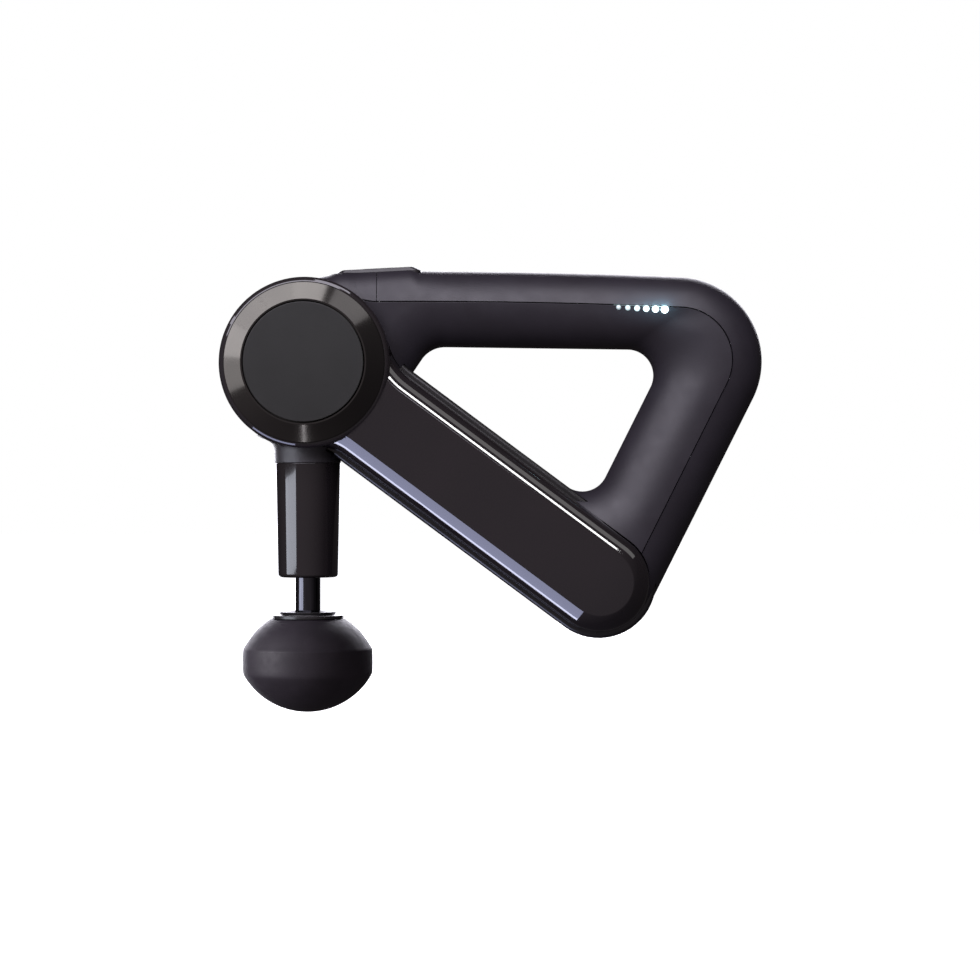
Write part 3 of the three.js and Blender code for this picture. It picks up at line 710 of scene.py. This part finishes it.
def outer_rail():
    """Points on the loop's outer silhouette with their outward normals, from the head to the arm's end."""
    rail = []
    corner_x = (CORNER + CORNER_R * normal(CORNER_START)).x
    stops = [2 + 0.75 * i for i in range(72)]
    stops += [x.x for x in line((stops[-1] + 1.5, 0), (corner_x - 1, 0), 34)]
    for x in stops:
        slope = (bar_z(x + 0.05) - bar_z(x - 0.05)) / 0.1
        rail.append((Vector((x, bar_z(x))), Vector((-slope, 1)).normalized()))
    for p in arc((0, 0), 1, CORNER_START, STRUT_NORMAL, 56):
        rail.append((CORNER + CORNER_R * p, p))
    n = normal(STRUT_NORMAL)
    end = ARM_END + (ARM_HALF - 0.05) * n
    begin = rail[-1][0]
    rail += [(p, n) for p in line(begin, end, 30)[1:]]
    return rail


def hole_rail(rail):
    """The point on the finger opening's edge that faces each point of the outer rail."""
    strut, top = normal(STRUT_NORMAL), normal(HOLE_TOP_NORMAL)
    arm = normal(90 - math.degrees(ARM_ANGLE))
    strut_line = ARM_END.dot(strut) + ARM_HALF - STRUT_WIDTH
    upper = meet(strut, strut_line - HOLE_R, top, HOLE_TOP_DISTANCE - HOLE_R)
    lower = meet(strut, strut_line - HOLE_R, arm, ARM_HALF + HOLE_R)
    throat = meet(Vector((1, 0)), THROAT_X, top, HOLE_TOP_DISTANCE - THROAT_R)
    bar_start, bar_end = throat + THROAT_R * top, upper + HOLE_R * top
    strut_start, strut_end = upper + HOLE_R * strut, lower + HOLE_R * strut
    corner_x = (CORNER + CORNER_R * normal(CORNER_START)).x
    along_throat = normal(THROAT_END + 90)
    strut_top = CORNER + CORNER_R * strut
    strut_length = (strut_top - ARM_END - ARM_HALF * strut).length
    hole = []
    for p, n in rail:
        angle = math.degrees(math.atan2(n.y, n.x))
        if p.x <= corner_x - 0.5 and p.y > 0:
            t = (p.x - THROAT_X) / (corner_x - THROAT_X)
            if t >= 0:
                hole.append(bar_start.lerp(bar_end, t))
            else:
                share = (THROAT_X - p.x) / (THROAT_X - THROAT_TURN_X)
                turn = HOLE_TOP_NORMAL + share * (THROAT_END - HOLE_TOP_NORMAL)
                extra = 0.9 * max(0, THROAT_TURN_X - p.x)
                hole.append(throat + THROAT_R * normal(min(turn, THROAT_END)) + along_throat * extra)
        elif angle > STRUT_NORMAL + 0.01:
            t = (CORNER_START - angle) / (CORNER_START - STRUT_NORMAL)
            hole.append(upper + HOLE_R * normal(HOLE_TOP_NORMAL + (STRUT_NORMAL - HOLE_TOP_NORMAL) * t))
        else:
            t = (p - strut_top).length / strut_length
            past = max(0, t - FOOT_SHARE) / (1 - FOOT_SHARE)
            on_strut = strut_start.lerp(strut_end, min(t / FOOT_SHARE, 1))
            hole.append(on_strut if past == 0 else lower + HOLE_R * normal(STRUT_NORMAL - past * FOOT_TURN))
    return hole


def seam_inset(point):
    """How far inside the silhouette the seam runs. It climbs a little towards the head."""
    if point.y < 0:
        return SEAM_INSET
    return max(10, SEAM_INSET - 0.0245 * max(0, SHROUD_END_X - point.x) ** 2)


def spine_section(point, outward):
    """The spine's cross-section: a rounded crest down to the seam on both sides, and the same moved inwards.

    Under the button pad the crest is raised and flatter."""
    on_bar = point.y > 0 and point.x < 100
    rise = plinth(point.x) if on_bar else 0
    power = 2.3 + (0.6 * smoothstep(2, 14, point.x) * (1 - smoothstep(46, 66, point.x)) if on_bar else 0)
    reach = seam_inset(point) - GAP / 2
    width = SPINE_ROUND * reach / SEAM_INSET
    loops = []
    for wall in (0, WALL):
        last = math.acos((1 - (reach - wall) / (width - wall)) ** (power / 2))
        depth = SEAM_DEPTH / math.sin(math.acos((1 - reach / width) ** (power / 2))) ** (2 / power) - wall
        half = []
        for i in range(17):
            a = last * (i / 16) ** 0.8
            s = min(wall + (width - wall) * (1 - math.cos(a) ** (2 / power)), reach)
            half.append((s - rise * (1 - smoothstep(1.5, 11, s)), depth * math.sin(a) ** (2 / power)))
        loops.append(half)
    outer, inner = loops
    s, y = outer[-1]
    before = outer[-2]
    outer[-1:] = [(s - (s - before[0]) * 0.12, y), (s, y - 0.3)]
    ring = [(s, -y) for s, y in reversed(outer)] + outer[1:]
    ring += list(reversed(inner)) + [(s, -y) for s, y in inner[1:]]
    return [(point.x - outward.x * s, y, point.y - outward.y * s) for s, y in ring]


def handle_body_cutters():
    """The frame and the covers that the handle grips."""
    return [gun_cutter("frame_cut", HEAD_R + SEAT, ARM_HALF + SEAT, SHOULDER_HALF_DEPTH + SEAT),
            gun_cutter("cover_cut", COVER_HEAD_R + SEAT, COVER_HALF + SEAT, 60)]


def pad_outline(grow_x, grow_y, radius=PAD_CORNER_R):
    """A rounded rectangle in the pad's own plane."""
    hx, hy = PAD_HALF[0] + grow_x, PAD_HALF[1] + grow_y
    outline = []
    for sx, sy, start in ((1, 1, 0), (-1, 1, 90), (-1, -1, 180), (1, -1, 270)):
        outline += arc((sx * (hx - radius), sy * (hy - radius)), radius, start, start + 90, 6)
    return outline


def on_pad(p, height):
    """A point on the pad's plane, lifted along its normal."""
    c, s = math.cos(PAD_TILT), math.sin(PAD_TILT)
    return PAD_X + p[0] * c - height * s, p[1], PAD_Z + p[0] * s + height * c


def pad_cutter():
    sections = [[on_pad(p, h) for p in pad_outline(GAP, GAP)] for h in (-6, 6)]
    return mesh_object("pad_cut", *skin(sections, caps=True))


def spine_piece(name, rail, node):
    """One stretch of the outer skin."""
    sections = [spine_section(point, outward) for point, outward in rail]
    obj = mesh_object(name, *skin(sections, caps=True))
    combine(obj, "DIFFERENCE", handle_body_cutters() + [pad_cutter()])
    finish_piece(smooth(obj), SOFT, node)


def crown(inside, on_strut):
    """Height of the inner shell above its seam: it falls towards the opening, on the strut after a crest."""
    crest = 0.1 * inside * (1 - inside / 12) if inside < 12 else -0.1 * (inside - 12)
    return on_strut * crest - (1 - on_strut) * 0.1 * inside


def inner_section(seam, edge, side, on_strut):
    """From the mid-plane at the finger opening's edge round to the seam, and the same moved inwards."""
    width = (seam - edge).length
    loops = []
    for wall in (0, WALL):
        half = []
        for i in range(23):
            e = wall + (width - wall) * math.sin(math.pi / 2 * i / 22) ** 1.5
            turn = max(0, 1 - (e - wall) / (HANDLE_ROUND + STRUT_ROUND * on_strut - wall))
            lean = SEAM_DEPTH + crown(width - e, on_strut) - wall
            half.append((e, max(lean * max(0, 1 - turn ** 2.1) ** 0.5, GAP / 2)))
        loops.append(half)
    outer, inner = loops
    e, y = outer[-1]
    outer[-1:] = [(e - 0.3, y), (e, y - 0.3)]
    ring = outer + list(reversed(inner))
    spots = [(edge.lerp(seam, e / width), y) for e, y in ring]
    return [(p.x, side * y, p.y) for p, y in spots]


def inner_piece(name, rail, hole, side, node):
    """Half of the handle's inner shell: the front one has the lights' holes, the rear one the screws."""
    sections = []
    for (point, outward), edge in zip(rail, hole):
        seam = point - outward * (seam_inset(point) + GAP / 2)
        sections.append(inner_section(seam, edge, side, smoothstep(0.1, 0.8, outward.x)))
    obj = mesh_object(name, *skin(sections, caps=True))
    cutters = handle_body_cutters()
    if side > 0:
        combine(obj, "UNION", [cylinder("boss", p, 3.9, 5, 13, "y") for p in HANDLE_SCREWS])
        combine(obj, "DIFFERENCE", cutters)
        cut_screw_wells(obj, HANDLE_SCREWS, 7.9)
    else:
        cutters += [cylinder("light_hole", p, led_radius(i) + 0.2, -30, -5, "y", 24)
                    for i, p in enumerate(led_places())]
        combine(obj, "DIFFERENCE", cutters)
    finish_piece(smooth(obj), SOFT, node)


def handle():
    """The outer skin in two stretches with a seam between them, and the two halves of the inner shell."""
    rail = outer_rail()
    hole = hole_rail(rail)
    split = next(i for i, (p, _) in enumerate(rail) if p.x > SHROUD_END_X)
    before, after = [(Vector((SHROUD_END_X + shift, bar_z(SHROUD_END_X))), rail[split][1])
                     for shift in (-GAP / 2, GAP / 2)]
    spine_piece("neck_shroud_skin", rail[:split] + [before], "neck_shroud")
    spine_piece("spine_cover_skin", [after] + rail[split:], "spine_cover")
    inner_piece("front_handle_shell", rail, hole, -1, "handle_shell_front")
    inner_piece("rear_handle_shell", rail, hole, 1, "handle_shell_rear")


# ---- power button ----


def pill(half_length, half_width):
    """A round-ended outline."""
    outline = arc((half_length - half_width, 0), half_width, -90, 90, 10)
    return outline + arc((half_width - half_length, 0), half_width, 90, 270, 10)


def resample(outline, count):
    """The same closed outline with evenly spaced points, starting on the positive x axis."""
    loop = outline + [outline[0]]
    lengths = [0]
    for a, b in zip(loop, loop[1:]):
        lengths.append(lengths[-1] + (b - a).length)
    points, at = [], 0
    for i in range(count):
        target = lengths[-1] * i / count
        while lengths[at + 1] < target:
            at += 1
        share = (target - lengths[at]) / max(lengths[at + 1] - lengths[at], 1e-9)
        points.append(loop[at].lerp(loop[at + 1], share))
    first = min(range(count), key=lambda i: abs(math.atan2(points[i].y, points[i].x)))
    return points[first:] + points[:first]


def pad_row(outline, height, count=96):
    return [on_pad(p, height) for p in resample(outline, count)]


def button_bezel():
    """The raised pad round the button, from its window outwards over its sloping ends."""
    window = ((0, -3.4), (0, -0.3), (0.3, -0.02))
    rows = [pad_row(pill(WINDOW_HALF[0] + grow, WINDOW_HALF[1] + grow), height) for grow, height in window]
    rim = ((-3.6, -0.8, 0), (-3.2, -0.5, -0.04), (-2.8, -0.3, -0.2), (-0.4, -0.1, -1.4), (0, 0, -1.7),
           (0, 0, -3.4))
    for grow_x, grow_y, height in rim:
        rows.append(pad_row(pad_outline(grow_x, grow_y, PAD_CORNER_R + grow_y), height))
    bezel = mesh_object("button_pad", *skin(rows, wrap=True))
    finish_piece(smooth(bezel, 30), FRAME, "button_bezel")


def power_button():
    """A dished cap on a stem that reaches down to the switch."""
    length, width = BUTTON_HALF
    dish = ((0, -3.4), (0, -0.1), (0.1, 0.15), (0.35, 0.33), (0.9, 0.38), (1.8, 0.3), (3.2, 0.2))
    rows = [pad_row(pill(length - inset, width - inset), height) for inset, height in dish]
    button = mesh_object("power_button_cap", *skin(rows, caps=True))
    stem = [[on_pad(p, h) for p in arc((3, 0), 2, 0, 345, 23)] for h in (-5.2, -3.2)]
    combine(button, "UNION", [mesh_object("stem", *skin(stem, caps=True))])
    finish_piece(smooth(button, 30), RUBBER, "power_button", "button")


# ---- indicator lights ----


def led_places():
    return [(FIRST_LIGHT[0] + LIGHT_STEP[0] * i, FIRST_LIGHT[1] + LIGHT_STEP[1] * i) for i in range(LIGHTS)]


def led_radius(i):
    """Each light is a little larger than the one before."""
    return 0.95 + 0.11 * i


def indicator():
    """One comb of light pipes on a carrier bar. Each tip shines more than the last."""
    places = led_places()
    points, faces, materials = [], [], []
    for i, (x, z) in enumerate(places):
        r = led_radius(i)
        rows = []
        for share, y in ((1, -12), (1, -15.2), (0.92, -15.6), (0.7, -15.85), (0.35, -15.98)):
            rows.append([(p.x, y, p.y) for p in arc((x, z), r * share, 0, 345, 23)])
        p, f = skin(rows, caps=True)
        faces += [tuple(v + len(points) for v in face) for face in f]
        points += p
        materials += [i] * len(f)
    bar = [[(places[0][0] - 2, y, places[0][1] + h), (places[-1][0] + 2, y, places[-1][1] + h)] for y, h in
           ((-12, 1.5), (-12, -1.5), (-11.2, -1.5), (-11.2, 1.5))]
    corner = [p for pair in bar for p in pair]
    n = len(points)
    points += corner
    faces += [(n, n + 1, n + 3, n + 2), (n + 2, n + 3, n + 5, n + 4), (n + 4, n + 5, n + 7, n + 6),
              (n + 6, n + 7, n + 1, n), (n, n + 2, n + 4, n + 6), (n + 1, n + 3, n + 5, n + 7)]
    materials += [0] * 6
    obj = raw_mesh("led_light_comb", points, faces)
    finish_piece(obj, LENS, "led_light_guide")
    mesh = obj.data
    mesh.materials.clear()
    for i in range(LIGHTS):
        mesh.materials.append(glowing(f"led_{i + 1}", 0.35 * 1.9 ** i))
    for face, m in zip(mesh.polygons, materials):
        face.material_index = m
    clean(obj)
    smooth(obj, 50)


# ---- nose, shaft and attachment ----


def nose_collar():
    """A tube that flares into the frame's rim."""
    centre_x = COLLAR_R + COLLAR_FLARE
    centre_z = -math.sqrt((HEAD_R + COLLAR_FLARE) ** 2 - centre_x ** 2)
    blend = [(p.x, p.y) for p in arc((centre_x, centre_z), COLLAR_FLARE, 180, 95, 10)]
    profile = [(10.4, -28), (10.4, COLLAR_BOTTOM + 2.6), (SPIGOT_R + 0.15, COLLAR_BOTTOM + 2.6),
               (SPIGOT_R + 0.15, COLLAR_BOTTOM), (COLLAR_R - 0.35, COLLAR_BOTTOM),
               (COLLAR_R - 0.1, COLLAR_BOTTOM + 0.1), (COLLAR_R, COLLAR_BOTTOM + 0.35)] + blend
    profile += [(blend[-1][0] + 2.5, blend[-1][1] + 1.5), (blend[-1][0] + 2.5, -28)]
    collar = turned("nose_collar_skin", profile, "z", 128)
    sink = 0.25
    combine(collar, "DIFFERENCE", [
        gun_cutter("frame_seat", HEAD_R - sink, ARM_HALF - sink, FRAME_HALF_DEPTH, 3),
        gun_cutter("cover_seat", COVER_HEAD_R - sink, COVER_HALF - sink, 60, 3)])
    finish_piece(smooth(collar), COLLAR, "nose_collar")


def nose_sleeve():
    top = COLLAR_BOTTOM - SEAT
    profile = fillet_profile([
        (10.6, top + 2.2, 0), (SPIGOT_R, top + 2.2, 0), (SPIGOT_R, top, 0), (14.75, top, 0.35),
        (13.75, SLEEVE_BOTTOM, 1.6), (9.9, SLEEVE_BOTTOM, 0.3),
        (9.9, SLEEVE_BOTTOM + 3, 0), (9.25, SLEEVE_BOTTOM + 3, 0), (9.25, -47.5, 0), (10.6, -47.5, 0)])
    finish_piece(turned("nose_sleeve_skin", profile, "z", 128), GLOSS, "nose_sleeve")


def wiper_seal():
    profile = fillet_profile([
        (SHAFT_R + 0.15, -94.9, 0.1), (6.6, -95.1, 0), (9.6, -95.1, 0.2), (9.6, -92.7, 0), (6.6, -92.7, 0),
        (SHAFT_R + 0.15, -94, 0)])
    finish_piece(turned("wiper_lip", profile, "z"), RUBBER, "wiper_seal")


def ball_hub():
    """The socket on the shaft's end, with two lips over the ball."""
    bottom = node_box("ball_hub")[0].z
    profile = fillet_profile([
        (0.01, bottom, 0), (9, bottom, 0.5), (9, -113.8, 0), (16, -113.8, 0.15), (16.05, -112.35, 0.25),
        (14.7, -112.3, 0.1), (13.3, -112.95, 0.2), (12.2, -112.2, 0.3), (12.75, -110.8, 0.2),
        (11.5, -110.85, 0.2), (8.2, -112.1, 0.5), (6.1, -112.1, 0.2), (6.1, -129.2, 0), (0.01, -129.2, 0)])
    finish_piece(turned("attachment_hub", profile, "z", 128), FRAME, "ball_hub", "attachment")


def massage_ball():
    """A round dome, a low upright band and slightly crowned shoulders up to the hub's seat."""
    dome_z = BALL_BOTTOM + DOME_R
    rim = math.degrees(math.acos(28.5 / DOME_R))
    dome = [(max(p.x, 0.01), p.y) for p in arc((0, dome_z), DOME_R, -90, -rim, 28)]
    band = [(BALL_R - 0.42, -139.0), (BALL_R - 0.12, -138.0), (BALL_R - 0.02, -136.2), (BALL_R, -133.5),
            (BALL_R - 0.02, -130.6), (BALL_R - 0.1, -128.9), (BALL_R - 0.22, -128.3), (BALL_R - 0.16, -127.9),
            (BALL_R - 0.3, -127.3), (BALL_R - 0.85, -126.5)]
    shoulder = []
    for i in range(1, 15):
        t = i / 14
        crowning = 0.75 * math.sin(math.pi * t)
        shoulder.append((BALL_R - 0.85 + (16.9 - BALL_R + 0.85) * t + crowning, -126.5 + 12.1 * t + crowning))
    seat = [(16.2, -114.15), (15.4, -114.1), (9.3, -114.1), (9.3, -133.3), (0.01, -133.3)]
    ball = turned("foam_ball", dome + band + shoulder + seat, "z", 144)
    finish_piece(smooth(ball, 40), FOAM, "massage_ball", "attachment")


def shaft():
    """A rod with a groove for the O-ring, and a fork for the connecting rod's wrist pin."""
    profile = fillet_profile([
        (0.01, -128, 0), (4.9, -128, 0.3), (SHAFT_R, -127, 0.3), (SHAFT_R, -122.2, 0), (4, -122.2, 0),
        (4, -119.8, 0), (SHAFT_R, -119.8, 0), (SHAFT_R, -44, 0.2), (0.01, -44, 0)])
    rod = turned("shaft_rod", profile, "z", 96)
    fork = slab("fork", rectangle(6.3, -45.2, -30.6), -6.3, 6.3)
    combine(rod, "UNION", [bevel_edges(fork, 0.6)])
    combine(rod, "DIFFERENCE", [slab("fork_slot", rectangle(10, -43.2, 0), -3.45, 3.45),
                                cylinder("pin_eye", (0, -37), 2.75, -10, 10, "y")])
    finish_piece(smooth(rod), CHROME, "percussion_shaft", "plunger")


# ---- stage ----


def camera():
    """A long lens that looks straight at the front, with the gun's middle in the middle of the picture."""
    half_view = math.radians(10.4)
    data = bpy.data.cameras.new("camera")
    data.sensor_width = 36
    data.lens = data.sensor_width / 2 / math.tan(half_view)
    data.clip_end = 50
    obj = place_object("camera", data)
    obj.location = to_frame(81.9, -1200, -56.25)
    obj.rotation_euler = (math.pi / 2, 0, 0)
    bpy.context.scene.camera = obj


def choose_receivers(light, only=(), not_on=()):
    """Lets a light reach only some pieces, or all but some."""
    group = bpy.data.collections.new(light.name + "_receivers")
    for node in only or not_on:
        group.objects.link(PIECES[node])
    for member in group.collection_objects:
        member.light_linking.link_state = "INCLUDE" if only else "EXCLUDE"
    light.light_linking.receiver_collection = group


def softbox(name, target, azimuth, off_axis, distance, size, radiance, colour, along=None, only=(), not_on=()):
    """A softbox that faces target, in millimetres, at an angle off the view axis towards azimuth.

    Its first size runs across that direction, or along the given one. It can light some pieces only, or all
    but some."""
    data = bpy.data.lights.new(name, "AREA")
    data.shape = "RECTANGLE"
    data.size, data.size_y = size[0] * MM, size[1] * MM
    data.energy = radiance * math.pi * data.size * data.size_y
    data.color = colour
    obj = place_object(name, data)
    turn, lean = math.radians(azimuth), math.radians(off_axis)
    back = Vector((math.sin(lean) * math.cos(turn), -math.cos(lean), math.sin(lean) * math.sin(turn)))
    side = along or Vector((-math.sin(turn), 0, math.cos(turn)))
    side = (side - back * side.dot(back)).normalized()
    up = back.cross(side)
    place = to_frame(*target) + back * distance * MM
    obj.matrix_world = Matrix([[side[i], up[i], back[i], place[i]] for i in range(3)] + [[0, 0, 0, 1]])
    obj.visible_camera = False
    if only or not_on:
        choose_receivers(obj, only, not_on)


def led_glow():
    """The spill of the brighter lights on the shell round them."""
    for i, (x, z) in enumerate(led_places()):
        data = bpy.data.lights.new(f"led_glow_{i + 1}", "POINT")
        data.shadow_soft_size = 1.2 * MM
        data.energy = 1e-4 * 2 ** i
        data.color = (0.35, 0.86, 1)
        obj = place_object(f"led_glow_{i + 1}", data)
        obj.location = to_frame(x, -18.8, z + 2.4)
        obj.visible_camera = False
        choose_receivers(obj, ("spine_cover", "handle_shell_front"))


def surroundings():
    """White to the camera. Everything else sees a dim room that is lighter to the front left."""
    scene = bpy.context.scene
    scene.view_settings.view_transform = "Standard"
    world = bpy.data.worlds.new("studio")
    scene.world = world
    world.use_nodes = True
    tree = world.node_tree
    tree.nodes.clear()
    out = add_node(tree, "ShaderNodeOutputWorld")
    mix = add_node(tree, "ShaderNodeMixShader")
    rays = add_node(tree, "ShaderNodeLightPath")
    dim = add_node(tree, "ShaderNodeBackground", {"Color": (1, 0.88, 0.92, 1)})
    place = add_node(tree, "ShaderNodeTexCoord")
    toward = add_node(tree, "ShaderNodeVectorMath", operation="DOT_PRODUCT")
    toward.inputs[1].default_value = (-0.45, -0.85, 0.28)
    tree.links.new(place.outputs["Generated"], toward.inputs[0])
    limits = {"From Min": -0.1, "From Max": 1, "To Min": 0.04, "To Max": 0.27}
    fade = add_node(tree, "ShaderNodeMapRange", limits)
    tree.links.new(toward.outputs["Value"], fade.inputs["Value"])
    tree.links.new(fade.outputs["Result"], dim.inputs["Strength"])
    pale = add_node(tree, "ShaderNodeBackground", {"Color": (1, 1, 1, 1), "Strength": 1.0})
    tree.links.new(rays.outputs["Is Camera Ray"], mix.inputs["Fac"])
    tree.links.new(dim.outputs["Background"], mix.inputs[1])
    tree.links.new(pale.outputs["Background"], mix.inputs[2])
    tree.links.new(mix.outputs["Shader"], out.inputs["Surface"])


def lamps():
    """The studio's softboxes. Each streak in the gloss has a lamp of its own, which lights that piece only."""
    arm = on_arm((1, 0))
    arm_axis = Vector((arm.x, 0, arm.y))
    arm_middle = on_arm((98, 0))
    arm_middle = (arm_middle.x, 0, arm_middle.y)
    up_side = 90 - math.degrees(ARM_ANGLE)
    covers = ("front_cover", "rear_cover")
    body = covers + ("mid_frame",)
    nose_pieces = ("nose_collar", "percussion_shaft", "ball_hub")
    softbox("key", (70, 0, 0), 112, 38, 1000, (1500, 660), 4.9, (0.92, 0.88, 1),
            not_on=("front_bezel_ring", "massage_ball"))
    ring = ("front_bezel_ring",)
    head = (0, 0, 0)
    for azimuth, radiance in ((186, 1.7), (162, 4.1), (138, 3.5), (114, 3.5), (90, 3.9)):
        softbox(f"ring_{azimuth}", head, azimuth, 65, 850, (325, 260), radiance, (1, 0.98, 0.97), only=ring)
    softbox("ring_side", head, 56, 66, 850, (420, 260), 1.3, (1, 0.98, 1), only=ring)
    softbox("ring_glint", head, -94, 65, 850, (30, 260), 5, (1, 0.98, 1), only=ring)
    softbox("arm_strip", arm_middle, up_side, 62, 800, (213, 62), 24, (1, 1, 1), arm_axis, covers)
    softbox("arm_edge", arm_middle, up_side, 75.5, 800, (700, 130), 1.4, (1, 0.98, 0.97), arm_axis, covers)
    softbox("frame_edge", arm_middle, up_side, 84, 830, (700, 335), 1.8, (1, 0.98, 0.97), arm_axis,
            ("mid_frame",))
    softbox("arm_panel", arm_middle, up_side - 180, 66, 700, (340, 420), 5.1, (0.635, 0.67, 1), arm_axis, body)
    softbox("arm_rim", arm_middle, up_side - 180, 81, 650, (316, 48), 9, (0.78, 0.8, 1), arm_axis, covers)
    softbox("sleeve_panel", (0, 0, -114.5), 180, 60, 900, (82, 700), 5.2, (0.84, 0.88, 1),
            only=("nose_sleeve",))
    softbox("nose_panel", (0, 0, -90), 180, 60, 920, (700, 700), 5.0, (0.84, 0.88, 1), only=nose_pieces)
    softbox("ball_box", (0, 0, -120), 165, 66, 900, (700, 500), 7.0, (0.96, 0.94, 1), only=("massage_ball",))
    fronts = ("front_cover", "front_bezel_ring", "front_cap", "handle_shell_front", "mid_frame")
    softbox("rear_key", (70, 0, 0), 112, 164, 1000, (1500, 700), 5.5, (0.92, 0.9, 1), not_on=fronts)
    softbox("rear_side", (70, 0, -40), 200, 166, 1200, (600, 1300), 2.2, (0.92, 0.94, 1), not_on=fronts)


def floor():
    """The pale floor, low enough to clear the ball when it is pulled right off its shaft."""
    half = 6000
    z = BALL_BOTTOM - PULL_TRAVEL - 0.5
    corners = [(-half, -half, z), (half, -half, z), (half, half, z), (-half, half, z)]
    obj = raw_mesh("floor", corners, [(0, 1, 2, 3)])
    m, _, shader = new_material("pale_floor")
    set_inputs(shader, {"Base Color": (0.9, 0.9, 0.9, 1), "Roughness": 0.9, "Emission Color": (1, 1, 1, 1),
                        "Emission Strength": 1.0})
    obj.data.materials.append(m)
    obj.visible_glossy = False
    obj.visible_diffuse = False
    obj.visible_shadow = False


finish_frame_nodes()
mid_frame()
front_cover()
rear_cover()
bezel_ring()
front_cap()
rear_cap()
handle()
button_bezel()
power_button()
indicator()
nose_collar()
nose_sleeve()
wiper_seal()
shaft()
ball_hub()
massage_ball()
floor()
surroundings()
lamps()
led_glow()
camera()

bpy.context.view_layer.update()
